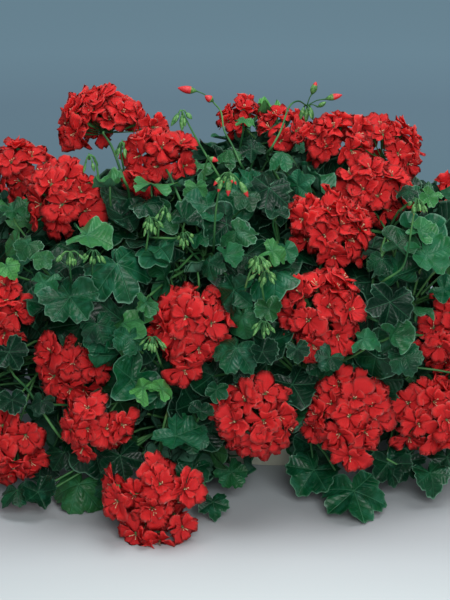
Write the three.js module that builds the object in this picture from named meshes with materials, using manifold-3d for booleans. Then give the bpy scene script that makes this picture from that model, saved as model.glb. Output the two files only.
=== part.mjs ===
// A potted ivy geranium in flower, standing on its saucer. Millimetres, +Z up.
// The origin is the middle of the saucer's flat underside. +X is to the viewer's right and +Y points away.
//
// A round pot stands in a saucer and holds the soil. A short woody crown stands in the soil, and the shoots
// spring from it, rise over the rim and trail down on all sides. A shoot is one grown piece: its stem, the
// leaves on their petioles, and the stalks of its flower heads. Each flower head is a solid of its own.

import * as THREE from "three";
import { mergeVertices } from "three/addons/utils/BufferGeometryUtils.js";
import Module from "manifold-3d";

const wasm = await Module();
wasm.setup();
const { Manifold } = wasm;

// Driving dimensions
const GAP = 0.3;
const ROUND_SIDES = 48;

const SAUCER_TOP_RADIUS = 107;
const SAUCER_BASE_RADIUS = 94;
const SAUCER_HEIGHT = 24;
const SAUCER_WALL = 3.5;
const SAUCER_FLOOR = 4;

const POT_RIM_RADIUS = 125;
const POT_BAND_RADIUS = 121;
const POT_BODY_RADIUS = 115;
const POT_BASE_RADIUS = 84;
const POT_HEIGHT = 156;
const POT_BAND_HEIGHT = 30;
const POT_WALL = 4;
const POT_FLOOR = 5;
const DRAIN_RADIUS = 7;
const DRAIN_CIRCLE = 48;
const DRAIN_COUNT = 5;
const DRAIN_SIDES = 16;

const SOIL_BELOW_RIM = 15;
const SOIL_CROWN_RISE = 5;
const SOIL_CROWN_RADIUS = 60;

const CROWN_RADIUS = 17;
const CROWN_HEIGHT = 46;
const CROWN_SIDES = 14;
const CROWN_NECK_RADIUS = 12;
const ROOT_RADIUS = 14;
const ROOT_DEPTH = 48;

// Stems, flower stalks and petioles: thickness, usual length, how far they bow upwards, sides and steps
const STEM = { diameter: 6, sides: 7, steps: 9 };
const STALK = { diameter: 2.6, length: 115, lift: 14, sides: 5, steps: 4 };
const PETIOLE = { diameter: 2.2, length: 70, lift: 8, sides: 4, steps: 3 };

const LEAF_THICKNESS = 1.4;
const LEAF_RADIUS_MIN = 24;
const LEAF_RADIUS_MAX = 36;
const LEAF_CUP = 0.16;
const LEAF_LOBE = 0.1;
const LEAF_SIDES = 10;

// Leaves lie this far under the mound's surface, turned a little upwards and swaying a little
const LEAF_DEPTH = 6;
const LEAF_DEPTH_SPREAD = 16;
const LEAF_UPTURN = 0.3;
const LEAF_SWAY = 0.5;
const TIP_DROOP = 1.2;
const TIP_DROOP_SPREAD = 0.8;

// A head is this share of its width and height deep, its florets make small lumps, and stalks of others
// pass it with some berth
const HEAD_DEPTH = 0.42;
const HEAD_LUMP = 0.04;
const HEAD_BERTH = 1.12;

// The mound of leaves is a rounded box: |x/a|^n + |y/b|^n + |z/c|^n = 1 about its middle
const MOUND_MIDDLE = new THREE.Vector3(-35, -10, 110);
const MOUND_HALF_WIDTH = 305;
const MOUND_HALF_DEPTH = 235;
const MOUND_RISE = 212;
const MOUND_DROP = 104;
const MOUND_SQUARENESS = 2.3;

// The picture's view: the middle of the frame in pixels, the point it looks at, and how far and how steeply
const FRAME_MIDDLE_X = 225;
const FRAME_MIDDLE_Y = 300;
const SIGHT_DISTANCE = 1900;
const SIGHT_TILT = THREE.MathUtils.degToRad(18);
const AIM = new THREE.Vector3(-50, 0, 139.5);

// Flower heads that the picture shows: the middle, width and height in its pixels, and the distance in
// millimetres from the pot's axis, towards the viewer where it is negative
const SEEN_HEADS = [
  { px: 103, py: 119, wide: 92, tall: 58, y: 20 },
  { px: 160, py: 160, wide: 75, tall: 66, y: -72 },
  { px: 20, py: 169, wide: 72, tall: 58, y: 0 },
  { px: 64, py: 197, wide: 88, tall: 74, y: -86 },
  { px: 243, py: 119, wide: 50, tall: 42, y: 78 },
  { px: 283, py: 130, wide: 56, tall: 44, y: 28 },
  { px: 335, py: 142, wide: 72, tall: 64, y: -30 },
  { px: 388, py: 147, wide: 66, tall: 64, y: 28 },
  { px: 371, py: 195, wide: 80, tall: 70, y: -72 },
  { px: 332, py: 228, wide: 84, tall: 78, y: -138 },
  { px: 322, py: 306, wide: 90, tall: 86, y: -192 },
  { px: 191, py: 325, wide: 84, tall: 92, y: -200 },
  { px: -2, py: 310, wide: 76, tall: 68, y: -152 },
  { px: 72, py: 371, wide: 74, tall: 72, y: -172 },
  { px: 95, py: 430, wide: 78, tall: 64, y: -222 },
  { px: 8, py: 446, wide: 86, tall: 82, y: -176 },
  { px: 150, py: 507, wide: 104, tall: 84, y: -246 },
  { px: 254, py: 417, wide: 86, tall: 90, y: -222 },
  { px: 345, py: 410, wide: 90, tall: 92, y: -208 },
  { px: 430, py: 416, wide: 82, tall: 82, y: -172 },
  { px: 451, py: 337, wide: 78, tall: 84, y: -140 },
  { px: 454, py: 210, wide: 50, tall: 42, y: 30 },
];

// Flower heads past the picture's edges and behind, in millimetres
const HIDDEN_HEADS = [
  { x: 216, y: -96, z: 214, wide: 74, tall: 64 },
  { x: 246, y: -12, z: 150, wide: 78, tall: 70 },
  { x: 206, y: -150, z: 44, wide: 80, tall: 66 },
  { x: 236, y: 84, z: 88, wide: 78, tall: 66 },
  { x: 196, y: 74, z: 222, wide: 76, tall: 60 },
  { x: -312, y: -44, z: 212, wide: 80, tall: 66 },
  { x: -324, y: 44, z: 126, wide: 80, tall: 68 },
  { x: -306, y: -104, z: 84, wide: 78, tall: 66 },
  { x: -250, y: 104, z: 206, wide: 76, tall: 62 },
  { x: -160, y: 156, z: 196, wide: 80, tall: 62 },
  { x: -44, y: 178, z: 208, wide: 82, tall: 64 },
  { x: 78, y: 168, z: 204, wide: 78, tall: 62 },
  { x: 160, y: 158, z: 138, wide: 78, tall: 68 },
  { x: -232, y: 158, z: 92, wide: 78, tall: 66 },
  { x: -116, y: 214, z: 104, wide: 82, tall: 70 },
  { x: 24, y: 222, z: 98, wide: 80, tall: 70 },
  { x: 132, y: 196, z: 46, wide: 76, tall: 64 },
];

// Shoots: how many, the share of a step by which the first is turned, the heights above the soil where they
// leave the crown, and their course: degrees from upright, and shares of the way out to the mound's surface
const TRAILING = {
  count: 9,
  turn: 0.25,
  tiers: [24, 12],
  course: [[48, 0.62], [78, 0.68], [104, 0.72]],
};
const RISING = {
  count: 5,
  turn: 0.55,
  tiers: [36],
  course: [[30, 0.62], [52, 0.78]],
};
const SHOOT_START = 11;
const SHOOT_BEND = 39;
const SHOOT_BEND_RISE = 26;

// Stalks spring from a stem at these steps of its length, and are tested against the heads at so many points
const SPRING_FIRST = 5;
const SPRING_STEPS = 20;
const STALK_TESTS = 10;

// Places for leaves, spread evenly over the mound from its top down, and every second one taken
const LEAF_PLACES = 330;
const LEAF_STEP = 2;
const LEAF_SPAN = 1.58;
const GOLDEN_ANGLE = Math.PI * (3 - Math.sqrt(5));

const UP = new THREE.Vector3(0, 0, 1);
const potFoot = SAUCER_FLOOR + GAP;
const rimHeight = potFoot + POT_HEIGHT;
const soilTop = rimHeight - SOIL_BELOW_RIM;

// A closed three.js geometry as a solid, with its faces turned outwards
function solidOf(geometry) {
  const bare = geometry.clone();
  bare.deleteAttribute("normal");
  bare.deleteAttribute("uv");
  const merged = mergeVertices(bare, 1e-4);
  const triVerts = Uint32Array.from(merged.index.array);
  const vertProperties = Float32Array.from(merged.attributes.position.array);
  const solid = new Manifold(new wasm.Mesh({ numProp: 3, vertProperties, triVerts }));
  if (solid.volume() > 0) return solid;
  for (let i = 0; i < triVerts.length; i += 3) {
    [triVerts[i], triVerts[i + 1]] = [triVerts[i + 1], triVerts[i]];
  }
  return new Manifold(new wasm.Mesh({ numProp: 3, vertProperties, triVerts }));
}

function geometryOf(solid) {
  const mesh = solid.getMesh();
  const geometry = new THREE.BufferGeometry();
  geometry.setAttribute("position", new THREE.BufferAttribute(mesh.vertProperties, 3));
  geometry.setIndex(new THREE.BufferAttribute(mesh.triVerts, 1));
  geometry.computeVertexNormals();
  return geometry;
}

// A body turned about the pot's axis, from the radii and heights of its outline
function turned(outline, sides = ROUND_SIDES) {
  const points = outline.map(([radius, height]) => new THREE.Vector2(radius, height));
  return new THREE.LatheGeometry(points, sides).rotateX(Math.PI / 2);
}

// A round stem along a curve
function tube(extrudePath, { diameter, sides, steps }) {
  const section = new THREE.Shape();
  for (let i = 0; i < sides; i += 1) {
    const angle = (2 * Math.PI * i) / sides;
    const [u, v] = [(Math.cos(angle) * diameter) / 2, (Math.sin(angle) * diameter) / 2];
    if (i === 0) section.moveTo(u, v);
    else section.lineTo(u, v);
  }
  section.closePath();
  return solidOf(new THREE.ExtrudeGeometry(section, { steps, extrudePath, bevelEnabled: false }));
}

// A steady value from 0 to 1 for a numbered piece, the same in every run
function chance(piece, trait) {
  const wave = Math.sin(piece * 12.9898 + trait * 78.233) * 43758.5453;
  return wave - Math.floor(wave);
}

function moundPoint(direction, share = 1) {
  const c = direction.z > 0 ? MOUND_RISE : MOUND_DROP;
  const n = MOUND_SQUARENESS;
  const sum =
    Math.abs(direction.x / MOUND_HALF_WIDTH) ** n +
    Math.abs(direction.y / MOUND_HALF_DEPTH) ** n +
    Math.abs(direction.z / c) ** n;
  return direction.clone().multiplyScalar(share * sum ** (-1 / n)).add(MOUND_MIDDLE);
}

function moundNormal(point) {
  const off = point.clone().sub(MOUND_MIDDLE);
  const c = off.z > 0 ? MOUND_RISE : MOUND_DROP;
  const power = MOUND_SQUARENESS - 1;
  const slope = (value, half) => (Math.sign(value) * Math.abs(value / half) ** power) / half;
  return new THREE.Vector3(
    slope(off.x, MOUND_HALF_WIDTH),
    slope(off.y, MOUND_HALF_DEPTH),
    slope(off.z, c),
  ).normalize();
}

// The point on the line of sight through a pixel, at the given distance y from the pot's axis
function sightPoint(px, py, y) {
  const [c, s] = [Math.cos(SIGHT_TILT), Math.sin(SIGHT_TILT)];
  const k = (FRAME_MIDDLE_Y - py) / SIGHT_DISTANCE;
  const rise = (k * (SIGHT_DISTANCE + y * c) - y * s) / (c + k * s);
  const range = SIGHT_DISTANCE + y * c - rise * s;
  const x = AIM.x + ((px - FRAME_MIDDLE_X) / SIGHT_DISTANCE) * range;
  return { point: new THREE.Vector3(x, y, AIM.z + rise), scale: range / SIGHT_DISTANCE };
}

// Saucer: a plain dish with a flat underside
function saucer() {
  const flare = (SAUCER_TOP_RADIUS - SAUCER_BASE_RADIUS) / SAUCER_HEIGHT;
  return solidOf(
    turned([
      [0, 0],
      [SAUCER_BASE_RADIUS, 0],
      [SAUCER_TOP_RADIUS, SAUCER_HEIGHT],
      [SAUCER_TOP_RADIUS - SAUCER_WALL, SAUCER_HEIGHT],
      [SAUCER_BASE_RADIUS + flare * SAUCER_FLOOR - SAUCER_WALL, SAUCER_FLOOR],
      [0, SAUCER_FLOOR],
    ]),
  );
}

// Pot: tapered wall, a proud band round the rim, and drain holes through the base
function potInside(height) {
  const share = height / POT_HEIGHT;
  const top = POT_RIM_RADIUS - POT_WALL;
  return POT_BASE_RADIUS - POT_WALL + (top - POT_BASE_RADIUS + POT_WALL) * share;
}

function pot() {
  const bandFoot = POT_HEIGHT - POT_BAND_HEIGHT;
  const wall = solidOf(
    turned([
      [0, 0],
      [POT_BASE_RADIUS, 0],
      [POT_BODY_RADIUS + POT_WALL / 2, bandFoot],
      [POT_BAND_RADIUS + POT_WALL / 2, bandFoot + 2],
      [POT_RIM_RADIUS, POT_HEIGHT],
      [potInside(POT_HEIGHT), POT_HEIGHT],
      [potInside(POT_FLOOR), POT_FLOOR],
      [0, POT_FLOOR],
    ]),
  );
  const drains = [];
  for (let i = 0; i < DRAIN_COUNT; i += 1) {
    const angle = (2 * Math.PI * (i + 0.5)) / DRAIN_COUNT;
    const length = 4 * POT_FLOOR;
    const hole = new THREE.CylinderGeometry(DRAIN_RADIUS, DRAIN_RADIUS, length, DRAIN_SIDES);
    hole.rotateX(Math.PI / 2).translate(DRAIN_CIRCLE * Math.cos(angle), DRAIN_CIRCLE * Math.sin(angle), 0);
    drains.push(solidOf(hole));
  }
  return wall.subtract(Manifold.union(drains)).translate([0, 0, potFoot]);
}

// Crown: the knobbly old stem, with its root stump tapering into the soil
function crown(extra) {
  const ring = [
    [0, -ROOT_DEPTH - extra],
    [0.4 * ROOT_RADIUS + extra, -ROOT_DEPTH - extra],
    [0.7 * ROOT_RADIUS + extra, -0.5 * ROOT_DEPTH],
    [ROOT_RADIUS + extra, -0.1 * ROOT_DEPTH],
    [CROWN_NECK_RADIUS + extra, 0.2 * CROWN_HEIGHT],
    [CROWN_RADIUS + extra, 0.5 * CROWN_HEIGHT],
    [0.9 * CROWN_RADIUS + extra, 0.85 * CROWN_HEIGHT],
    [0.5 * CROWN_RADIUS + extra, CROWN_HEIGHT + extra],
    [0, CROWN_HEIGHT + extra],
  ];
  return solidOf(turned(ring, CROWN_SIDES)).translate([0, 0, soilTop + SOIL_CROWN_RISE]);
}

function soil() {
  const foot = POT_FLOOR + GAP;
  const top = POT_HEIGHT - SOIL_BELOW_RIM;
  const filling = solidOf(
    turned([
      [0, foot],
      [potInside(foot) - GAP, foot],
      [potInside(top) - GAP, top],
      [SOIL_CROWN_RADIUS, top + SOIL_CROWN_RISE / 2],
      [0, top + SOIL_CROWN_RISE],
    ]),
  ).translate([0, 0, potFoot]);
  return filling.subtract(crown(GAP));
}

// A flower head: a lumpy dome of florets, wide and tall as seen and a little shallower than it is wide
function head({ point, wide, tall }, number) {
  const ball = new THREE.IcosahedronGeometry(1, 1);
  const place = ball.attributes.position;
  const at = new THREE.Vector3();
  for (let i = 0; i < place.count; i += 1) {
    at.fromBufferAttribute(place, i);
    const lump = 1 - HEAD_LUMP * (1 - Math.sin(5 * at.x + number) * Math.sin(6 * at.y + 2 * at.z));
    place.setXYZ(i, at.x * lump, at.y * lump, at.z * lump);
  }
  ball.scale(wide / 2, (HEAD_DEPTH * (wide + tall)) / 2, tall / 2);
  const dome = solidOf(ball);
  const foot = Math.max(point.z, -dome.boundingBox().min[2] + GAP);
  return dome.translate([point.x, point.y, foot]);
}

// The line of a shoot's stem, from the crown over the rim and along the inside of the mound
function shootLine(azimuth, course, tier) {
  const out = new THREE.Vector3(Math.cos(azimuth), Math.sin(azimuth), 0);
  const base = out.clone().multiplyScalar(SHOOT_START).setZ(soilTop + SOIL_CROWN_RISE + tier);
  const rise = out.clone().multiplyScalar(SHOOT_BEND).setZ(base.z + SHOOT_BEND_RISE);
  const along = course.map(([degrees, share]) => {
    const polar = THREE.MathUtils.degToRad(degrees);
    const direction = out.clone().multiplyScalar(Math.sin(polar)).setZ(Math.cos(polar));
    return moundPoint(direction, share);
  });
  return new THREE.CatmullRomCurve3([base, rise, ...along]);
}

function shootLines({ count, turn, tiers, course }) {
  return Array.from({ length: count }, (_, i) => {
    const azimuth = (2 * Math.PI * (i + turn)) / count;
    return shootLine(azimuth, course, tiers[i % tiers.length]);
  });
}

function bow(from, to, lift) {
  const middle = from.clone().lerp(to, 0.5);
  middle.z += lift;
  return new THREE.CatmullRomCurve3([from, middle, to]);
}

// Whether a bowed stalk passes through any of the given flower heads
function meetsHead(stalk, heads) {
  const points = stalk.getPoints(STALK_TESTS);
  return heads.some(({ point, wide, tall }) =>
    points.some((at) => {
      const [x, y, z] = at.clone().sub(point).toArray();
      const deep = HEAD_DEPTH * (wide + tall);
      return (2 * x / wide) ** 2 + (2 * y / deep) ** 2 + (2 * z / tall) ** 2 < HEAD_BERTH ** 2;
    }),
  );
}

// The place on a stem that carries a stalk or petiole of about the given length, clear of other heads
function springPoint(lines, tip, { length, lift }, others) {
  const places = [];
  lines.forEach((line, shoot) => {
    for (let step = SPRING_FIRST; step <= SPRING_STEPS; step += 1) {
      const at = line.getPoint(step / SPRING_STEPS);
      const outside = Math.max(0, at.distanceTo(MOUND_MIDDLE) - tip.distanceTo(MOUND_MIDDLE));
      places.push({ cost: Math.abs(at.distanceTo(tip) - length) + outside, shoot, at });
    }
  });
  places.sort((a, b) => a.cost - b.cost);
  return places.find(({ at }) => !meetsHead(bow(at, tip, lift), others)) ?? places[0];
}

// A leaf: a thin cupped plate with five shallow lobes, held near its middle by its petiole
function leafPlate(centre, normal, tip, radius) {
  const outline = [
    [0, -LEAF_THICKNESS / 2],
    [radius, LEAF_CUP * radius - LEAF_THICKNESS / 2],
    [radius, LEAF_CUP * radius + LEAF_THICKNESS / 2],
    [0, LEAF_THICKNESS / 2],
  ];
  const plate = turned(outline, LEAF_SIDES);
  const place = plate.attributes.position;
  for (let i = 0; i < place.count; i += 1) {
    const angle = Math.atan2(place.getY(i), place.getX(i));
    const lobe = 1 - LEAF_LOBE * (1 - Math.sin(5 * angle));
    place.setXYZ(i, place.getX(i) * lobe, place.getY(i) * lobe, place.getZ(i));
  }
  const side = new THREE.Vector3().crossVectors(normal, tip).normalize();
  const forward = new THREE.Vector3().crossVectors(side, normal);
  const turn = new THREE.Matrix4().makeBasis(forward, side, normal).setPosition(centre);
  return solidOf(plate.applyMatrix4(turn));
}

function leaf(number, lines, heads) {
  const height = 1 - (LEAF_SPAN * (number + 0.5)) / LEAF_PLACES;
  const azimuth = number * GOLDEN_ANGLE;
  const across = Math.sqrt(1 - height * height);
  const direction = new THREE.Vector3(across * Math.cos(azimuth), across * Math.sin(azimuth), height);
  const surface = moundPoint(direction);
  const normal = moundNormal(surface).addScaledVector(UP, LEAF_UPTURN);
  normal.x += LEAF_SWAY * (chance(number, 1) - 0.5);
  normal.y += LEAF_SWAY * (chance(number, 2) - 0.5);
  normal.normalize();
  const radius = THREE.MathUtils.lerp(LEAF_RADIUS_MIN, LEAF_RADIUS_MAX, chance(number, 3));
  const centre = surface.addScaledVector(normal, -LEAF_DEPTH - LEAF_DEPTH_SPREAD * chance(number, 4));
  const tip = direction.clone().setZ(direction.z - TIP_DROOP + TIP_DROOP_SPREAD * chance(number, 5));
  const spring = springPoint(lines, centre, PETIOLE, heads);
  const stalk = tube(bow(spring.at, centre, PETIOLE.lift), PETIOLE);
  return { shoot: spring.shoot, solid: leafPlate(centre, normal, tip, radius).add(stalk) };
}

const boxesMeet = (a, b) => {
  const [p, q] = [a.boundingBox(), b.boundingBox()];
  return [0, 1, 2].every((i) => p.min[i] < q.max[i] + 1 && q.min[i] < p.max[i] + 1);
};
const isClear = (solid, others) => !others.some((o) => boxesMeet(solid, o) && solid.minGap(o, 1) < GAP);

const seen = SEEN_HEADS.map(({ px, py, wide, tall, y }) => {
  const { point, scale } = sightPoint(px, py, y);
  return { point, wide: wide * scale, tall: tall * scale };
});
const hidden = HIDDEN_HEADS.map(({ x, y, z, wide, tall }) => {
  return { point: new THREE.Vector3(x, y, z), wide, tall };
});
const heads = [...seen, ...hidden].map((place, i) => ({ ...place, solid: head(place, i + 1) }));
const lines = [...shootLines(TRAILING), ...shootLines(RISING)];
const grown = lines.map((line) => [tube(line, STEM)]);

heads.forEach((place) => {
  const others = heads.filter((other) => other !== place);
  const spring = springPoint(lines, place.point, STALK, others);
  grown[spring.shoot].push(tube(bow(spring.at, place.point, STALK.lift), STALK));
});

// Each head's stalk ends at its dome, and each stem at the crown, with the same small gap
const cutters = heads.map(({ solid, point, wide, tall }) => {
  const grow = 1 + GAP / (HEAD_DEPTH * Math.min(wide, tall));
  const [x, y, z] = point.toArray();
  return solid.translate([-x, -y, -z]).scale(grow).translate([x, y, z]);
});
const base = [pot(), saucer(), soil(), crown(0)];
const domes = heads.map(({ solid }) => solid);

const shoots = grown.map((parts) => Manifold.union(parts));
const trimmed = shoots.map((solid) => solid.subtract(Manifold.union([...cutters, crown(GAP)])));
const leaves = trimmed.map(() => []);
for (let number = 0; number < LEAF_PLACES; number += LEAF_STEP) {
  const { shoot, solid } = leaf(number, lines, heads);
  const others = [...base, ...domes, ...trimmed.filter((_, i) => i !== shoot), ...leaves.flat()];
  const held = trimmed[shoot].add(solid).decompose().length === 1;
  if (held && solid.boundingBox().min[2] > GAP && isClear(solid, others)) leaves[shoot].push(solid);
}

const CREAM = 0xd9d8c2;
const finishes = {
  pot: [CREAM, 0.55],
  saucer: [CREAM, 0.5],
  soil: [0x2a211a, 0.95],
  crown: [0x5a4a38, 0.9],
  shoot: [0x1d5a3a, 0.55],
  head: [0xb1261f, 0.6],
};

function piece(name, solid, [color, roughness]) {
  const material = new THREE.MeshStandardMaterial({ color, roughness, metalness: 0 });
  const mesh = new THREE.Mesh(geometryOf(solid), material);
  mesh.name = name;
  return mesh;
}

const two = (number) => String(number).padStart(2, "0");
const plant = new THREE.Group();
plant.add(piece("saucer", base[1], finishes.saucer));
plant.add(piece("pot", base[0], finishes.pot));
plant.add(piece("potting_soil", base[2], finishes.soil));
plant.add(piece("woody_crown", base[3], finishes.crown));
trimmed.forEach((solid, i) => {
  plant.add(piece(`shoot_${two(i + 1)}`, Manifold.union([solid, ...leaves[i]]), finishes.shoot));
});
domes.forEach((solid, i) => plant.add(piece(`flower_head_${two(i + 1)}`, solid, finishes.head)));

export default plant;
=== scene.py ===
from collections import namedtuple
import math

import bpy
import numpy as np
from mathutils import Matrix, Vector


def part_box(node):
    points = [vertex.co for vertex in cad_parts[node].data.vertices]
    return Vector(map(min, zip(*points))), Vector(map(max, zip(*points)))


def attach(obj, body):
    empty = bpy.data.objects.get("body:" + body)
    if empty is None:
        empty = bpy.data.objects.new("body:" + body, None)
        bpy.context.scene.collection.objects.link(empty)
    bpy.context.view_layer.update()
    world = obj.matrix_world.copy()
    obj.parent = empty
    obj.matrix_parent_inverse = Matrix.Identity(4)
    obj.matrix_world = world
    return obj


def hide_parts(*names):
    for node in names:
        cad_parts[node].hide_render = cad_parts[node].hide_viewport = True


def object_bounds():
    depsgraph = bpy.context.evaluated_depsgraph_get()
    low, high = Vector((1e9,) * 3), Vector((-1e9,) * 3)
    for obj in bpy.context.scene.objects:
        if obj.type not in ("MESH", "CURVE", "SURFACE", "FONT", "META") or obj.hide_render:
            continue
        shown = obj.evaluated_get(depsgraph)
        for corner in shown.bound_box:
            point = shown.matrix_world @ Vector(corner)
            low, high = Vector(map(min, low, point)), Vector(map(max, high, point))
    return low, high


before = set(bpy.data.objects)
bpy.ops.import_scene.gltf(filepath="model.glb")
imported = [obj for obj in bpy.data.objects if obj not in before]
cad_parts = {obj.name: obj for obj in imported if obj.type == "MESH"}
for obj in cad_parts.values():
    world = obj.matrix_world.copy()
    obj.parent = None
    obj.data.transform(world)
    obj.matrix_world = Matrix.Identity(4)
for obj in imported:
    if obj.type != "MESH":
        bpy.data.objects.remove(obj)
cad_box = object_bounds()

# Saucer
# A shallow cream dish of moulded plastic with a small lip round its edge. It is pressed in one piece, and the
# pot stands loose in it.
MM = 0.001
CREAM = (0.76, 0.76, 0.64, 1)
CREAM_WORN = (0.60, 0.59, 0.47, 1)
SPLASH_HEIGHT = 0.03
TURN_SIDES = 96
SAUCER_WALL = 3.5
SAUCER_FLOOR = 4.0
SAUCER_FLARE = 13.0
SAUCER_SLANT = 2.0
SAUCER_ROUNDING = 1.2
LIP_WIDTH = 1.5
LIP_HEIGHT = 2.5
LIP_FOOT = 3.0


def cad_span(node):
    """Lowest and highest corner of a CAD node, in millimetres."""
    low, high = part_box(node)
    return np.array(low) / MM, np.array(high) / MM


class Reading:
    """A value read at each point of a surface. Arithmetic on it adds Math nodes to its material."""

    def __init__(self, finish, socket):
        self.finish = finish
        self.socket = socket

    def maths(self, operation, *values):
        sockets = dict(enumerate(values))
        return self.finish.node("ShaderNodeMath", {"operation": operation}, sockets)

    def __add__(self, other):
        return self.maths("ADD", self, other)

    def __sub__(self, other):
        return self.maths("SUBTRACT", self, other)

    def __rsub__(self, other):
        return self.maths("SUBTRACT", other, self)

    def __mul__(self, other):
        return self.maths("MULTIPLY", self, other)

    def __truediv__(self, other):
        return self.maths("DIVIDE", self, other)

    def __pow__(self, other):
        return self.maths("POWER", self, other)

    def __gt__(self, other):
        return self.maths("GREATER_THAN", self, other)

    __radd__ = __add__
    __rmul__ = __mul__


class Finish:
    """A material in the making: the other methods add nodes, and surface() ends it with its shader."""

    def __init__(self, name):
        self.material = bpy.data.materials.new(name)
        self.material.use_nodes = True
        self.tree = self.material.node_tree
        self.tree.nodes.clear()

    def node(self, kind, settings=None, sockets=None, out=0):
        """Adds a node with its settings, and with a value or a reading for each socket named."""
        added = self.tree.nodes.new(kind)
        for name, value in (settings or {}).items():
            if name == "stops":
                self.set_stops(added.color_ramp, value)
            else:
                setattr(added, name, value)
        for key, value in (sockets or {}).items():
            if isinstance(value, Reading):
                self.tree.links.new(value.socket, added.inputs[key])
            else:
                added.inputs[key].default_value = value
        return Reading(self, added.outputs[out]) if added.outputs else None

    def set_stops(self, ramp, stops):
        while len(ramp.elements) < len(stops):
            ramp.elements.new(0.5)
        for element, (position, colour) in zip(ramp.elements, stops):
            element.position = position
            element.color = colour

    def place(self):
        """The point on the object, in metres."""
        return self.node("ShaderNodeTexCoord", out="Object")

    def part(self, vector, axis):
        """The X, Y or Z part of a vector that is read."""
        return self.node("ShaderNodeSeparateXYZ", {}, {"Vector": vector}, axis)

    def noise(self, place, scale, detail=3.0, roughness=0.55):
        sockets = {"Vector": place, "Scale": scale, "Detail": detail, "Roughness": roughness}
        return self.node("ShaderNodeTexNoise", {}, sockets, "Fac")

    def ramp(self, value, low, high):
        """0 below low, 1 above high, and eased between them."""
        settings = {"interpolation_type": "SMOOTHSTEP"}
        return self.node("ShaderNodeMapRange", settings, {"Value": value, "From Min": low, "From Max": high})

    def mix(self, factor, first, second):
        settings = {"data_type": "RGBA", "clamp_factor": True}
        return self.node("ShaderNodeMix", settings, {0: factor, 6: first, 7: second}, out=2)

    def mark(self, name):
        """A value that the mesh carries at each of its points."""
        return self.node("ShaderNodeAttribute", {"attribute_name": name}, {}, "Fac")

    def bump(self, height, distance, strength=1.0):
        return self.node("ShaderNodeBump", {}, {"Height": height, "Distance": distance, "Strength": strength})

    def surface(self, **values):
        """Ends the material with a Principled shader that has these values or readings."""
        sockets = {name.replace("_", " "): value for name, value in values.items()}
        shader = self.node("ShaderNodeBsdfPrincipled", {}, sockets)
        self.node("ShaderNodeOutputMaterial", {}, {"Surface": shader})
        return self.material


def piece(name, points, faces, material, marks=None, uv=None, sharp=None, replaces=()):
    """A shown piece from points (n, 3) in millimetres and a list of index arrays, one row to a face.

    marks are values per point, uv is a pair per point, and sharp says which points lie on a crisp rim.
    """
    mesh = bpy.data.meshes.new(name)
    corners = np.concatenate([rows.ravel() for rows in faces]).astype(np.int32)
    sizes = np.concatenate([np.full(len(rows), rows.shape[1]) for rows in faces])
    starts = np.concatenate([[0], np.cumsum(sizes)[:-1]]).astype(np.int32)
    mesh.vertices.add(len(points))
    mesh.vertices.foreach_set("co", (np.asarray(points) * MM).astype(np.float32).ravel())
    mesh.loops.add(len(corners))
    mesh.loops.foreach_set("vertex_index", corners)
    mesh.polygons.add(len(sizes))
    mesh.polygons.foreach_set("loop_start", starts)
    mesh.update(calc_edges=True)
    mesh.polygons.foreach_set("use_smooth", np.ones(len(sizes), bool))
    for mark, values in (marks or {}).items():
        layer = mesh.attributes.new(mark, "FLOAT", "POINT")
        layer.data.foreach_set("value", np.asarray(values, np.float32).ravel())
    if uv is not None:
        layer = mesh.uv_layers.new(name="blade")
        layer.data.foreach_set("uv", np.asarray(uv, np.float32)[corners].ravel())
    if sharp is not None:
        ends = np.zeros(2 * len(mesh.edges), np.int32)
        mesh.edges.foreach_get("vertices", ends)
        crisp = mesh.attributes.new("sharp_edge", "BOOLEAN", "EDGE")
        crisp.data.foreach_set("value", np.asarray(sharp)[ends.reshape(-1, 2)].all(axis=1))
    made = bpy.data.objects.new(name, mesh)
    mesh.materials.append(material)
    bpy.context.scene.collection.objects.link(made)
    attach(made, "root")
    if replaces:
        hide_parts(*replaces)
    return made


def rounded(outline, radius, steps=5):
    """The outline with each inner corner cut back by radius and bridged by a curve that leaves both sides
    along their own direction: (1-t)^2 a + 2t(1-t) corner + t^2 b."""
    points = [np.array(p, float) for p in outline]
    eased = [points[0]]
    for before, corner, after in zip(points, points[1:], points[2:]):
        reach = min(radius, np.linalg.norm(before - corner) / 2.1, np.linalg.norm(after - corner) / 2.1)
        start = corner + (before - corner) / np.linalg.norm(before - corner) * reach
        end = corner + (after - corner) / np.linalg.norm(after - corner) * reach
        for t in np.linspace(0, 1, steps):
            eased.append((1 - t) ** 2 * start + 2 * t * (1 - t) * corner + t ** 2 * end)
    return np.array(eased + [points[-1]])


def ring_faces(rings, sides):
    """Faces of a closed skin over rings of points from foot to top, with one more point for the foot and then
    one for the top."""
    index = np.arange(rings * sides).reshape(rings, sides)
    turn = np.roll(index, -1, axis=1)
    walls = np.stack([index[:-1], turn[:-1], turn[1:], index[1:]], axis=-1).reshape(-1, 4)
    foot = np.stack([np.full(sides, index.size), turn[0], index[0]], axis=1)
    top = np.stack([np.full(sides, index.size + 1), index[-1], turn[-1]], axis=1)
    return [walls, foot, top]


def turned(outline, sides=TURN_SIDES):
    """Points and faces of a body turned about the pot's axis. Its outline, radius by height, starts and
    ends on the axis: point = (radius cos a, radius sin a, height)."""
    angle = np.linspace(0, 2 * np.pi, sides, endpoint=False)
    ring = np.stack([np.cos(angle), np.sin(angle)], axis=1)
    inner = outline[1:-1]
    flat = inner[:, None, :1] * ring[None]
    height = np.broadcast_to(inner[:, None, 1:], (*flat.shape[:2], 1))
    body = np.concatenate([flat, height], axis=2).reshape(-1, 3)
    poles = [[0, 0, outline[0][1]], [0, 0, outline[-1][1]]]
    return np.concatenate([body, poles]), ring_faces(len(inner), sides)


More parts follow.
